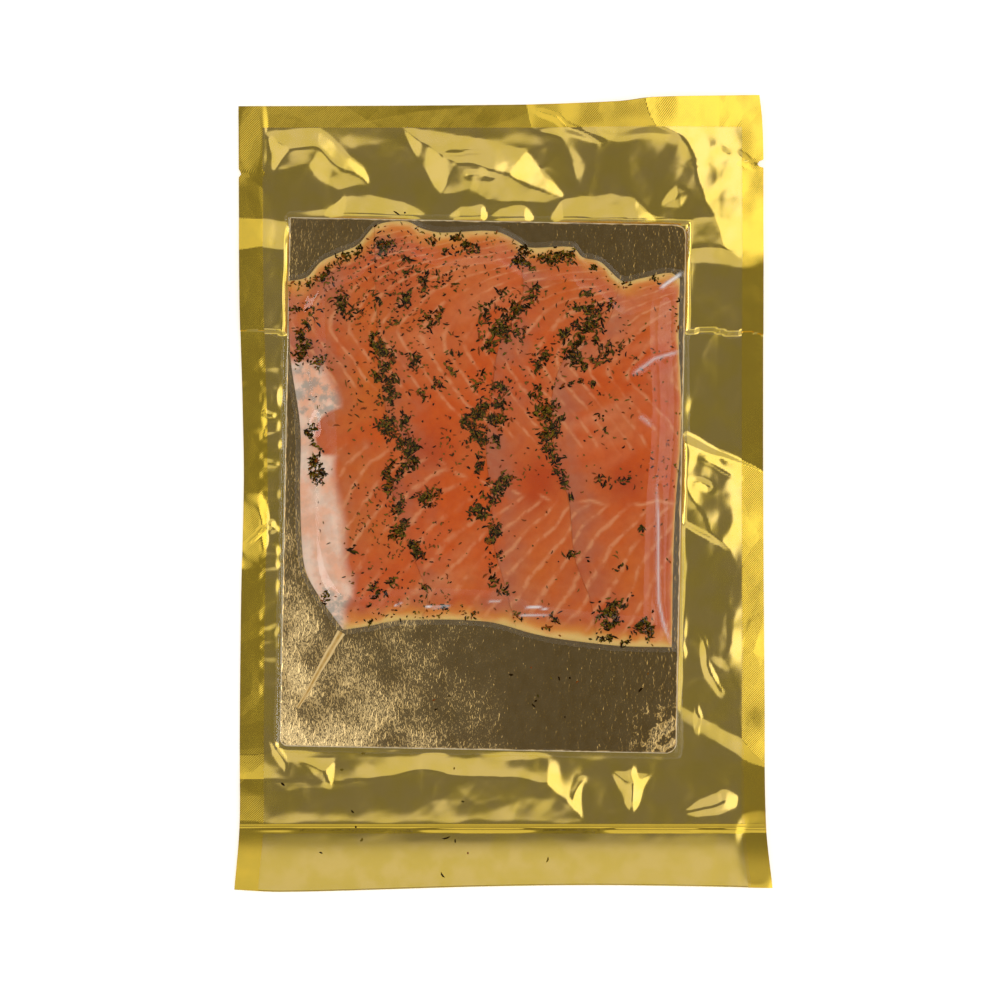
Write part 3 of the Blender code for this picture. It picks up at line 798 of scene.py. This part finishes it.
def make_seals():
    """Crimped bands down both sides and across the top, the flap's edges, and the plain weld above the flap."""
    left, right = -89.5, 88.5  # inner edges of the side seals
    long_rows, wide = round((148 - WELD_Y) / CRIMP_PITCH), round(SEAL_WIDTH / CRIMP_PITCH)
    made = [
        band("seal_left", wide, long_rows,
             lambda u, y: side_left(y) + SEAL_WIDTH * u,
             lambda u, v: mix(WELD_Y, along(END_TOP, -98.0 + 9 * u), v), CRIMP),
        band("seal_right", wide, long_rows,
             lambda u, y: mix(right, side_right(y), u),
             lambda u, v: mix(WELD_Y, along(END_TOP, right + 8 * u), v), CRIMP),
        band("seal_top", round((right - left) / CRIMP_PITCH), wide,
             lambda u, y: mix(left, right, u),
             lambda u, v: mix(SEAL_TOP_Y, along(END_TOP, mix(left, right, u)), v), CRIMP),
        band("flap_edge_left", 12, 60,
             lambda u, y: side_left(y) + SEAL_WIDTH * u,
             lambda u, v: mix(along(END_BOTTOM, -100 + 9 * u), WELD_Y, v), 0.0),
        band("flap_edge_right", 12, 60,
             lambda u, y: mix(side_right(y) - SEAL_WIDTH, side_right(y), u),
             lambda u, v: mix(along(END_BOTTOM, 91 + 9 * u), WELD_Y, v), 0.0),
    ]
    u, v = np.meshgrid(np.linspace(0, 1, 260), np.linspace(0, 1, 14))
    y = WELD_Y - WELD_WIDTH * (1 - v)
    x = mix(side_left(y), side_right(y), u)
    ridge = 0.35 * np.exp(-((y - WELD_Y + 0.5) / 0.5) ** 2)
    streak = 0.22 * np.exp(-((y - WELD_Y + 2.3) / 0.6) ** 2) * smooth(2.2 * uneven(x, 0 * y, 26, 15))
    made.append(sheet("weld", x, y, foil_high(x, y) + 0.14 + ridge + streak, GOLD_SEAL))


# ---- Board and strand ----


PER_CORNER = 10
PER_SIDE = 90
# Profile of the board from its underside inwards over its top: inset, height, fuzz of the cut
BOARD_PROFILE = [
    (0.25, BOARD_LOW, 0), (0.0, BOARD_LOW + 0.2, 0), (0.0, BOARD_TOP - 0.35, 0), (0.30, BOARD_TOP - 0.08, 0.15),
    (0.55, BOARD_TOP, 0.25), (2.2, BOARD_TOP, 0), (12, BOARD_TOP, 0),
]
BARE_STEPS = 3  # steps of the profile that are bare card


def board_outline(inset, fuzz):
    """Points round the board in its own axes, each corner with its own radius."""
    half_x, half_y = BOARD_SIZE[0] / 2 - inset, BOARD_SIZE[1] / 2 - inset
    corners = [(-half_x, -half_y), (half_x, -half_y), (half_x, half_y), (-half_x, half_y)]
    arcs = []
    for k, ((x, y), radius) in enumerate(zip(corners, BOARD_RADII)):
        radius = max(radius - inset, 0.2)
        middle_x, middle_y = x - math.copysign(radius, x), y - math.copysign(radius, y)
        turn = math.pi + k * math.pi / 2 + np.linspace(0, math.pi / 2, PER_CORNER)
        arcs.append(np.stack([middle_x + radius * np.cos(turn), middle_y + radius * np.sin(turn)], axis=1))
    outline = []
    for arc, after in zip(arcs, arcs[1:] + arcs[:1]):
        outline.append(arc)
        outline.append(mix(arc[-1], after[0], np.linspace(0, 1, PER_SIDE + 2)[1:-1, None]))
    outline = np.concatenate(outline)
    wobble = fuzz * uneven(outline[:, 0], outline[:, 1], 1.3, 5)
    return outline * (1 - wobble[:, None] / np.hypot(*outline.T)[:, None])


def make_board():
    """Die-cut card with a pressed edge, so the foil face stops short of the outline."""
    loops = []
    for inset, z, fuzz in BOARD_PROFILE:
        outline = board_outline(inset, fuzz)
        x = BOARD_CENTRE[0] + outline[:, 0] * math.cos(BOARD_TURN) - outline[:, 1] * math.sin(BOARD_TURN)
        y = BOARD_CENTRE[1] + outline[:, 0] * math.sin(BOARD_TURN) + outline[:, 1] * math.cos(BOARD_TURN)
        loops.append(stack(x, y, np.full(len(x), z)))
    count = len(loops[0])
    ring = np.arange(count)
    after = np.roll(ring, -1)
    faces = [ring[::-1].tolist()]
    for k in range(len(loops) - 1):
        low, high = k * count, (k + 1) * count
        faces += np.stack([low + ring, low + after, high + after, high + ring], axis=1).tolist()
    faces.append(((len(loops) - 1) * count + ring).tolist())
    made = new_piece("foil_board", np.concatenate(loops), faces, BOARD, CARD, smoothly=False)
    bare = np.arange(len(faces)) < 1 + BARE_STEPS * count
    made.data.polygons.foreach_set("material_index", bare.astype(np.int32))
    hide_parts("board")


def make_strand():
    """Thin ribbon of fish lying on the board."""
    steps, sides = 60, 9
    v, u = np.meshgrid(np.linspace(0, 1, steps), np.linspace(-0.5, 0.5, sides), indexing="ij")
    at = np.linspace(0, 1, len(STRAND))
    px, py = (along(list(zip(at, values)), v) for values in zip(*STRAND))
    width = STRAND_WIDTH * mix(1.0, 0.45, v) * (1 + 0.15 * uneven(v * 40, 0 * v, 3, 9))
    heading = math.atan2(STRAND[-1][1] - STRAND[0][1], STRAND[-1][0] - STRAND[0][0])
    x = px - math.sin(heading) * width * u
    y = py + math.cos(heading) * width * u
    crown = 0.55 * np.sqrt(np.clip(1 - 3.8 * u * u, 0, 1)) + 0.12
    low = np.full(x.shape, BOARD_TOP + 0.02)
    made = slab("fish_strand", x, y, low, BOARD_TOP + 0.05 + crown, STRAND_FISH)
    paint(made, "across", np.tile((u + 0.5).ravel(), 2))
    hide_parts("strand")


# ---- Fish ----

SLICE_STEP = 0.75
# Right edge of the silvery strip along the left of the fish, (y, x)
SILVER_EDGE = [
    (-50, -57), (-40, -55), (-32, -54), (-24, -56.5), (-10, -56.5), (5, -60), (20, -60), (36, -60), (50, -67),
]
# Deeper red and warmer orange patches: x, y, radius, strength
DEEP = [
    (-27, 16, 8, 0.6), (13.6, 5, 8, 0.7), (12, -1, 6, 0.6), (45, 4, 7, 0.7), (-40, 74, 10, 0.3), (60, 40, 8, 0.3),
    (61, -20, 8, 0.4), (30, -30, 9, 0.3), (-40, 2, 8, 0.4),
]
ORANGE = [
    (-46, 66, 14, 0.7), (-50, 40, 12, 0.8), (-55, 10, 10, 0.6), (-50, -15, 8, 0.5), (-15, 85, 16, 0.5),
    (22, 82, 14, 0.4), (58, 66, 9, 0.6), (62, 40, 6, 0.5), (-28, -40, 10, 0.4), (20, -35, 14, 0.4),
    (-72, 68, 8, 0.8), (-56, -12, 9, 0.7), (-56, 30, 8, 0.6), (14, -30, 9, 0.6), (46, -30, 10, 0.5),
    (-14, -32, 8, 0.4),
]
# Where the flesh has broad pale bands: x, y, radius, strength
BANDED = [
    (-14, 84, 16, 0.7), (-6, 70, 12, 0.5), (50, 62, 18, 0.7), (34, 30, 16, 0.5), (-30, 60, 10, 0.4),
    (44, 10, 10, 0.3), (-22, -30, 12, 0.5), (2, -38, 10, 0.4),
]


def spots(x, y, listed):
    total = np.zeros(np.shape(x))
    for px, py, radius, strength in listed:
        total = np.maximum(total, strength * np.exp(-((x - px) ** 2 + (y - py) ** 2) / radius**2))
    return total


def make_slice(index):
    """One slice over its own solid, with relief, and the numbers that its colours are mixed from."""
    left, right = left_of(index, 20.0), right_of(index, 20.0)
    columns, rows = round(float(right - left) / SLICE_STEP), round(150 / SLICE_STEP)
    u, v = np.meshgrid(np.linspace(0, 1, columns), np.linspace(0, 1, rows))
    lower_x = mix(left_of(index, -50.0), right_of(index, -50.0), u)
    upper_x = mix(left_of(index, 90.0), right_of(index, 90.0), u)
    y = mix(along(STACK_BOTTOM, lower_x), along(STACK_TOP, upper_x), v)
    x = mix(left_of(index, y), right_of(index, y), u)
    side, ends = np.minimum(u, 1 - u) * (right - left), np.minimum(v, 1 - v) * 145
    if index < len(FOLDS):
        side = 4 * side
    edge = np.minimum(side, ends)
    rounding = 0.35 * (1 - np.sqrt(np.clip(1 - (1 - np.clip(edge / 1.2, 0, 1)) ** 2, 0, 1)))
    high = slice_high(index, x, y) + relief(x, y) - rounding * np.where(side < ends, 0.0, 0.6)
    low = slice_low(index, x, y)
    made = slab(f"salmon_{index + 1}", x, y, np.minimum(low, high - 0.1), high, FISH)
    end = np.minimum(along(STACK_TOP, x) - y, y - along(STACK_BOTTOM, x))
    if index == len(FOLDS):
        end = np.minimum(end, (right_of(index, y) - x) * 4 + 1)
    ragged = 1.3 * uneven(x, y, 3.5, 81) + 1.2 * uneven(x, y, 11, 82)
    silver = np.zeros(x.shape)
    if index == 0:
        edge_x = along(SILVER_EDGE, y) + 1.2 * uneven(x, y, 6, 83)
        silver = smooth((edge_x - x) / 5) * smooth((50 + uneven(x, y, 5, 84) * 2 - y) / 3)
        tongue = smooth((10.5 - np.hypot(x + 60, y - 21.5)) / 1.2) * smooth((y - 13.5) / 1.5)
        silver = silver * (1 - tongue)
    phase = muscle_phase(x, y) + 0.37 * index
    off_seam = y - along(SEAM, x) - 1.6 * np.abs((phase * 0.6) % 1 * 2 - 1)
    bared = right_of(index - 1, y) if index else left_of(0, y) + OVERLAP
    beyond = 0.95 * smooth((17 + 2 * ragged - (x - bared)) / 15)
    fields = {
        "muscle": phase,
        "lined": lined(x, y),
        "seam": (0.7 * np.exp(-((off_seam / 0.55) ** 2)) * smooth(1.6 * uneven(x, y, 5, 85))
                 * smooth((x + 45) / 10)),
        "rim": 0.8 * smooth((8.0 + ragged - end) / 7.0),
        "cream": 0.85 * smooth((3.4 + ragged - end) / 3.4),
        "silver": silver,
        "grey": 0.8 * np.maximum(smooth((46 - np.abs(y - 38)) / 12 - 2.2), smooth((-30 - y) / 8)),
        "deep": spots(x, y, DEEP),
        "orange": spots(x, y, ORANGE),
        "fresh": np.maximum(beyond, 0.8 * smooth((-22 - y) / 18) * smooth((40 - x) / 20)),
        "banded": spots(x, y, BANDED) * smooth(0.5 + 0.9 * uneven(0.5 * x - y, 0.12 * (x + y), 4.5, 86)),
    }
    for name, values in fields.items():
        paint(made, name, np.tile(np.ravel(values), 2))
    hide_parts(f"slice_{index + 1}")


# ---- Dill ----

DILL_SEED = 7
# Clumps of dill on the fish: x, y, radius, number of flakes
CLUMPS = [
    (-44.1, 92.2, 3.7, 70), (-47.1, 88.8, 3, 25), (-54.9, 91.4, 3, 25), (-59.7, 87.7, 2.6, 18),
    (-65.7, 81.4, 2.6, 30), (-63.1, 83.2, 2.2, 14), (-76.8, 79.1, 1.9, 8), (-72, 78.4, 2.2, 12),
    (-27.3, 92.9, 1.9, 16), (-18, 94.8, 2.2, 16), (-15.1, 91.4, 3, 34), (-11, 89.9, 2.2, 12),
    (-21.4, 89.2, 1.9, 8), (-36.3, 87, 1.5, 7), (-34.4, 82.1, 1.9, 8), (-29.9, 77.7, 2.6, 34),
    (-35.2, 72.1, 3.3, 55), (-21.4, 79.1, 3.3, 16), (-59.3, 71.3, 3.3, 40), (-57.1, 66.9, 3, 20),
    (-47.1, 71.3, 2.6, 10), (-41.5, 62, 3.3, 14), (-70.5, 66.5, 3, 12), (-76.8, 68.4, 1.5, 10),
    (-74.2, 61.3, 2.6, 30), (-75, 57.6, 2.2, 22), (-73.5, 52, 3.3, 60), (-67.9, 49.4, 2.2, 20),
    (-47.1, 55.7, 3.3, 55), (-45.2, 52.7, 2.6, 35), (-43, 48.6, 3, 40), (-45.6, 43.8, 2.6, 25),
    (-42.2, 39.3, 3.3, 70), (-41.5, 35.6, 2.6, 35), (-46.3, 31.5, 2.6, 30), (-43.7, 25.6, 4.1, 80),
    (-37, 27.1, 2.2, 20), (-37, 19.3, 3.3, 45), (-33.7, 16.3, 2.6, 30), (-32.9, 12.2, 2.2, 20),
    (-37.8, 9.6, 2.6, 28), (-41.5, 7.3, 3, 55), (-43, 1, 2.2, 16), (-39.2, -3.4, 2.6, 45),
    (-28.1, -1.2, 3.3, 55), (-37, -10.5, 2.2, 25), (-39.2, -14.2, 2.6, 35), (-31.4, -22, 2.2, 24),
    (-33.7, -19.1, 2.2, 14), (-48.5, -34.7, 2.2, 12), (-46.3, -38.4, 2.6, 16), (-41.5, -32.1, 2.2, 10),
    (-29.2, -36.2, 1.9, 12), (-55.6, -20.6, 1.9, 6), (-52.6, -26.9, 2.2, 9), (-70.5, 24.8, 1.5, 12),
    (-72, 22.2, 1.5, 16), (-69.8, 17.4, 1.5, 12), (-69.8, 10.7, 3, 45), (-67.9, 6.6, 2.2, 26),
    (-65.7, -38.4, 2.6, 10), (-66.4, -42.5, 1.9, 6), (-33.7, 49.4, 2.6, 14), (-29.9, 37.1, 2.6, 14),
    (-24.4, 40.8, 2.6, 14), (-27.3, 63.5, 3, 24), (-23.6, 65.8, 2.2, 14), (-32.9, 50.1, 3, 16),
    (-18.8, 50.9, 3.3, 22), (-18.8, 45.3, 2.2, 8), (-3.2, 65, 4.8, 110), (-0.2, 59.4, 3.7, 60),
    (-5.8, 55.7, 3.3, 50), (8.4, 70.6, 2.6, 30), (4.3, 68.4, 3, 30), (7.6, 58.7, 2.6, 26),
    (-0.9, 74.3, 2.2, 14), (11.3, 75.1, 2.2, 16), (-9.5, 42.7, 3.3, 22), (-0.9, 39.3, 3.3, 26),
    (-9.5, 30.8, 3, 50), (-5.8, 31.5, 3, 55), (-3.2, 27.1, 3.3, 70), (-12.8, 25.6, 2.6, 35),
    (-7.3, 20, 3, 40), (-11, 21.1, 2.6, 26), (-3.2, 20, 2.2, 20), (-10.2, 10.7, 3, 40), (0.6, 5.1, 3, 40),
    (-3.2, 1.4, 2.6, 34), (-9.5, -4.9, 3, 40), (-5.8, -3.4, 2.6, 34), (-8, -8.3, 2.2, 22),
    (-3.2, -13.5, 2.6, 34), (-5, -17.6, 2.2, 18), (-2.4, -24.6, 2.6, 16), (-3.5, -32.1, 3, 14),
    (-0.2, -35.8, 2.6, 10), (5.4, 86.2, 1.9, 22), (7.6, 90.7, 1.9, 22), (7.6, 86.2, 2.6, 34),
    (12.1, 85.5, 2.6, 34), (16.6, 87, 2.6, 30), (21, 87.7, 2.6, 30), (25.1, 88.4, 2.2, 22),
    (34, 84, 1.5, 14), (31.1, 74.3, 2.2, 14), (28.8, 68.4, 3, 45), (31.1, 61.3, 4.8, 110),
    (27, 54.2, 3.3, 55), (22.5, 59.1, 2.6, 26), (34, 66.5, 3, 34), (38.9, 70.2, 2.6, 18),
    (15.4, 51.2, 2.6, 26), (13.2, 47.5, 2.6, 20), (37.4, 52.7, 3, 36), (31.1, 47.2, 3, 22),
    (26.6, 49.8, 2.6, 18), (43.3, 55.3, 3, 12), (13.2, 37.9, 2.6, 26), (14.7, 30.8, 3.3, 55),
    (17.7, 29.3, 2.6, 34), (21, 28.6, 1.5, 14), (15.4, 21.5, 3, 40), (19.2, 23, 2.2, 26),
    (16.2, 15.2, 2.2, 22), (19.2, 12.2, 2.2, 16), (22.5, 4.4, 1.9, 16), (24, -1.2, 1.5, 14),
    (19.5, 8.1, 1.9, 8), (-1.7, 33, 3, 24), (24.7, 51.2, 2.6, 14), (32.5, 47.9, 2.6, 14),
    (36.6, 5.1, 2.2, 8), (44.1, 4.4, 2.2, 8), (51.1, -13.5, 1.9, 4), (24.7, -23.2, 1.9, 10),
    (43.3, -26.9, 1.5, 5), (32.5, -25.4, 1.5, 4), (36.6, 23, 1.9, 5), (35.5, 28.6, 1.9, 5),
    (40.4, -42.5, 4.5, 95), (39.6, -48.8, 3.3, 60), (38.9, -53.3, 2.2, 24), (51.1, -48.5, 3.3, 38),
    (53.8, -50.7, 2.6, 16), (34, -54.8, 2.2, 8), (44.5, -55.5, 2.2, 8), (54.5, -54.4, 3, 10),
    (4.7, -46.2, 1.9, 10), (18.8, -46.2, 1.9, 10), (-12.5, -44.7, 2.6, 10), (-50.8, -47.3, 2.6, 12),
    (15.4, -49.9, 3, 8), (-25.1, -44, 3, 8), (66, 72.1, 1.1, 10), (66, 66.5, 1.1, 14), (66, 60.9, 1.1, 14),
    (65.7, 55.3, 1.1, 8), (45.2, 79.1, 1.9, 8), (56, 79.9, 1.9, 8), (35.9, 84.7, 1.9, 8),
    (21, 40.1, 0.9, 5), (25, 41.2, 0.9, 5), (28.8, 41.9, 0.9, 5), (33.3, 40.8, 0.9, 5), (37.4, 36.4, 0.9, 5),
]
# Flakes on the board and under the film over the foil: x, y
STRAYS = [
    (-20.1, -75.1), (-25.1, -80.1), (-25.9, -76.5), (-31.4, -87.9), (2.8, -67.3), (10.2, -64.5), (17.7, -68.6),
    (20.5, -68.6), (24.7, -68.4), (27.5, -70), (12.8, -75.1), (12, -77), (11.2, -78.6), (53.8, -66.9), (51, -73),
    (22.9, -82.9), (-82, -107.9), (-60.1, -102.4), (-52.1, -96.4), (-18.4, -102), (-15.1, -114.3), (-54.9, -123.6),
    (-52.8, -128.5), (-67.9, -133.5), (-21.4, -127.7), (-18, -129), (-13.2, -133.5), (-22.5, -141.6), (16.2, -135.9),
    (-36.6, 104.6), (-39.6, 104.2), (-56, -118),
]
CLUMP_SHARE = 1.7  # flakes made for each one listed in CLUMPS
LOOSE_FLAKES = 1900
LOOSE_TRIES = 9000


def dill_at():
    """Places, lengths, widths and tones of all flakes, and the random source for the rest."""
    rng = np.random.default_rng(DILL_SEED)
    xs, ys = [], []
    for x, y, radius, count in CLUMPS:
        count = round(CLUMP_SHARE * count)
        lean = rng.uniform(0, math.pi)
        long = rng.normal(0, 0.72, count) * radius
        short = rng.normal(0, 0.48, count) * radius
        xs.append(x + long * math.cos(lean) - short * math.sin(lean))
        ys.append(y + long * math.sin(lean) + short * math.cos(lean))
    x, y = rng.uniform(-80, 66, LOOSE_TRIES), rng.uniform(-57, 101, LOOSE_TRIES)
    crowd = 0.55 + 0.45 * uneven(x, y, 14, 91) + 0.35 * smooth((20 - x) / 60) + 0.25 * smooth((y - 30) / 50)
    crowd = np.where((y < 0) & (x > -20), crowd * 0.55, crowd) * np.where((x < -58) & (y < 45), 0.35, 1.0)
    kept = np.flatnonzero(rng.uniform(0, 1.6, len(x)) < crowd**2)[:LOOSE_FLAKES]
    clumped = sum(len(part) for part in xs)
    xs.append(x[kept])
    ys.append(y[kept])
    x, y = np.concatenate(xs), np.concatenate(ys)
    loose = np.arange(len(x)) >= clumped
    held = (within_fish(x, y) >= 0) & (loose | (uneven(x, y, 2.6, 93) > -0.35))
    x, y, loose = x[held], y[held], loose[held]
    strays = np.array(STRAYS, float)
    x, y = np.concatenate([x, strays[:, 0]]), np.concatenate([y, strays[:, 1]])
    loose = np.concatenate([loose, np.zeros(len(strays), bool)])
    length = np.clip(rng.lognormal(0.50, 0.42, len(x)) * np.where(loose, 0.62, 1.0), 0.5, 4.0)
    width = rng.uniform(0.42, 0.78, len(x)) * np.where(loose, 0.75, 1.0)
    brown = loose & (rng.uniform(0, 1, len(x)) < 0.6)
    tone = np.where(brown, rng.uniform(0.7, 1.0, len(x)), rng.uniform(0, 0.95, len(x)))
    return x, y, length, width, tone, rng


def make_dill():
    """All flakes as one mesh: each a bent needle of two tips and two four-sided rings."""
    x, y, length, width, tone, rng = dill_at()
    count = len(x)
    heading = rng.uniform(0, math.pi, count)
    fish = fish_high(x, y)
    base = np.where(fish > 0, fish, np.where(beside_board(x, y) < 0, BOARD_TOP, foil_high(x, y)))
    thick = 0.5 * width
    bend = rng.uniform(-0.22, 0.22, count) * length
    lean = rng.uniform(-0.12, 0.12, count)
    stations = [(-0.5, 0, 0)]
    for place in (-0.2, 0.2):
        stations += [(place, 0.5, 0), (place, 0, 0.5), (place, -0.5, 0), (place, 0, -0.5)]
    stations.append((0.5, 0, 0))
    points = np.empty((count, len(stations), 3))
    for k, (ahead, aside, up) in enumerate(stations):
        lengthways = ahead * length
        sideways = aside * width + bend * (1 - 4 * ahead * ahead)
        points[:, k, 0] = x + lengthways * np.cos(heading) - sideways * np.sin(heading)
        points[:, k, 1] = y + lengthways * np.sin(heading) + sideways * np.cos(heading)
        points[:, k, 2] = base + 0.10 + 0.35 * thick + up * thick + lean * lengthways
    tips_and_rings = [(0, 2, 1), (0, 3, 2), (0, 4, 3), (0, 1, 4)]
    tips_and_rings += [(1, 2, 6, 5), (2, 3, 7, 6), (3, 4, 8, 7), (4, 1, 5, 8)]
    tips_and_rings += [(9, 5, 6), (9, 6, 7), (9, 7, 8), (9, 8, 5)]
    faces = [[10 * k + i for i in face] for k in range(count) for face in tips_and_rings]
    made = new_piece("dill", points.reshape(-1, 3), faces, DILL)
    paint(made, "tone", np.repeat(tone, len(stations)))


# ---- Film ----

FILM_STEP = 0.8
FILM_CLEAR = 0.30
# Creases of the film over the fish: points, height, width, and how white a glint is painted along each
FILM_CREASES = [
    ([(57.5, 75.8), (62, 79), (66.8, 82.3)], 0.7, 1.1, 0.75),
    ([(46.7, 43.4), (56, 50), (66.8, 53.3)], 0.5, 1.2, 0.40),
    ([(56.4, 9), (57.3, -10), (57.3, -28), (57.6, -40), (59.3, -48), (63, -58)], 0.6, 1.0, 0.45),
    ([(-29.5, -41.6), (-26, -42.2), (-19, -41.8)], 0.4, 0.6, 0.8),
    ([(-40.8, -41.4), (-37.5, -40.6)], 0.3, 0.5, 0.7),
    ([(-6, -40), (-0.5, -40)], 0.3, 0.5, 0.5),
    ([(7, -42.5), (12, -41.8), (17, -43)], 0.4, 0.6, 0.8),
    ([(5, -45), (18, -45.2)], 0.3, 0.5, 0.5),
    ([(50, 29), (55, 25)], 0.3, 1.0, 0.3),
]


def make_film():
    """Clear film pulled down by the vacuum: a taut skin over whatever lies under it."""
    x, y = pouch_grid(FILM_STEP,
                      lambda y: side_left(y) + SEAL_WIDTH - 0.3, lambda y: side_right(y) - SEAL_WIDTH + 1.2,
                      lambda x: along(END_BOTTOM, x) + 0.4, lambda x: 0 * x + SEAL_TOP_Y + 0.3)
    under = foil_high(x, y) + 0.14
    under = np.maximum(under, (BOARD_TOP + 0.06) * (1 - smooth((beside_board(x, y) - 0.2) / 1.3)))
    within = within_fish(x, y)
    clear = SLICE_BASE - BOARD_TOP + LIP + mix(0.08, FILM_CLEAR, smooth(within / 8))
    over_fish = BOARD_TOP + 0.06 + (stack_thick(x, y) + curled(x, y) + clear) * smooth((within + 1.6) / 1.6)
    under = np.maximum(under, np.where(within > -1.6, over_fish, 0))
    z = under.copy()
    for _ in range(12):
        near = (np.roll(z, 1, 0) + np.roll(z, -1, 0) + np.roll(z, 1, 1) + np.roll(z, -1, 1)) / 4
        near[0], near[-1], near[:, 0], near[:, -1] = under[0], under[-1], under[:, 0], under[:, -1]
        z = np.maximum(under, near - 0.12)
    # Painted highlight: how white each crease's glint is painted, strongest along its middle
    painted_glint = np.zeros(x.shape)
    for points, height, width, white in FILM_CREASES:
        gap, share = from_line(x, y, points)
        fade = smooth(share * 5) * smooth((1 - share) * 5)
        z = z + height * np.exp(-((gap / width) ** 2)) * fade
        painted_glint = np.maximum(painted_glint, white * np.exp(-((gap / (0.55 * width)) ** 2)) * fade)
    made = sheet("film", x, y, z, FILM)
    paint(made, "painted_glint", painted_glint)
    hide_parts("front_film")


# ---- Stage ----

PIXEL = 0.372  # millimetres of the pack's plane for each pixel of the image
IMAGE = 1000
CENTRE_PIXEL = (503.5, 493.75)  # where the pack's origin lies in the image
CAMERA_HEIGHT = 1200.0
SENSOR = 36.0
# Brightness of the surroundings overhead, towards the ends, to the left and to the right
OVERHEAD, ENDS, LEFT, RIGHT = 0.20, 0.72, 0.86, 1.45
LAMP_HEIGHT = 2.0
# Lamps: name, then edges as slopes from the pack (x low, x high, y low, y high), then radiance
LAMPS = [
    ("lamp_right", 1.20, 2.00, -0.80, 0.80, 1.0),
    ("lamp_left", -2.00, -1.20, -0.80, 0.80, 3.2),
]


def studio():
    """Plain white surroundings: dim overhead, bright panels round that, dim again low down."""
    world = bpy.data.worlds.new("studio")
    world.use_nodes = True
    tree = world.node_tree
    way = add(tree, "ShaderNodeSeparateXYZ", {0: add(tree, "ShaderNodeTexCoord").outputs["Generated"]}).outputs
    height = maths(tree, "MAXIMUM", way["Z"], 0.05)
    across, up = maths(tree, "DIVIDE", way["X"], height), maths(tree, "DIVIDE", way["Y"], height)
    ends = maths(tree, "MAXIMUM", span(tree, up, 0.14, 0.20), span(tree, up, -0.13, -0.20))
    glow = add(tree, "ShaderNodeMix", {0: ends, 2: OVERHEAD, 3: ENDS}).outputs[0]
    glow = add(tree, "ShaderNodeMix", {0: span(tree, across, -0.12, -0.19), 2: glow, 3: LEFT}).outputs[0]
    glow = add(tree, "ShaderNodeMix", {0: span(tree, across, 0.11, 0.18), 2: glow, 3: RIGHT}).outputs[0]
    glow = times(tree, glow, span(tree, way["Z"], 0.70, 0.86, 0.48, 1.0))
    shade = add(tree, "ShaderNodeCombineColor", {k: glow for k in range(3)})
    tree.links.new(shade.outputs[0], tree.nodes["Background"].inputs["Color"])
    return world


def make_stage():
    """Pale floor, two soft lamps in a white tent, and a camera looking straight down."""
    bpy.ops.mesh.primitive_circle_add(vertices=96, radius=4.0, fill_type="NGON", location=(0, 0, -0.0004))
    floor = bpy.context.object
    floor.name = "floor"
    made, tree, shader = new_material("floor")
    feed(tree, shader, Base_Color=(0.95, 0.95, 0.95), Roughness=0.9, Specular_IOR_Level=0.0,
         Emission_Color=(1.0, 1.0, 1.0), Emission_Strength=0.35)
    floor.data.materials.append(made)

    for name, low_x, high_x, low_y, high_y, radiance in LAMPS:
        light = bpy.data.lights.new(name, "AREA")
        light.shape = "RECTANGLE"
        light.size, light.size_y = (high_x - low_x) * LAMP_HEIGHT, (high_y - low_y) * LAMP_HEIGHT
        light.energy = radiance * 4 * light.size * light.size_y
        lamp = bpy.data.objects.new(name, light)
        lamp.location = ((low_x + high_x) / 2 * LAMP_HEIGHT, (low_y + high_y) / 2 * LAMP_HEIGHT, LAMP_HEIGHT)
        bpy.context.scene.collection.objects.link(lamp)
    bpy.context.scene.world = studio()

    camera = bpy.data.cameras.new("camera")
    camera.sensor_width = SENSOR
    camera.lens = SENSOR * CAMERA_HEIGHT / (IMAGE * PIXEL)
    seat = bpy.data.objects.new("camera", camera)
    right, down = (pixel - IMAGE / 2 for pixel in CENTRE_PIXEL)
    seat.location = (-right * PIXEL * MM, down * PIXEL * MM, CAMERA_HEIGHT * MM)
    bpy.context.scene.collection.objects.link(seat)
    bpy.context.scene.camera = seat
    bpy.context.scene.view_settings.view_transform = "Standard"


make_foil()
make_seals()
make_board()
make_strand()
for number in range(len(FOLDS) + 1):
    make_slice(number)
make_dill()
make_film()
make_stage()
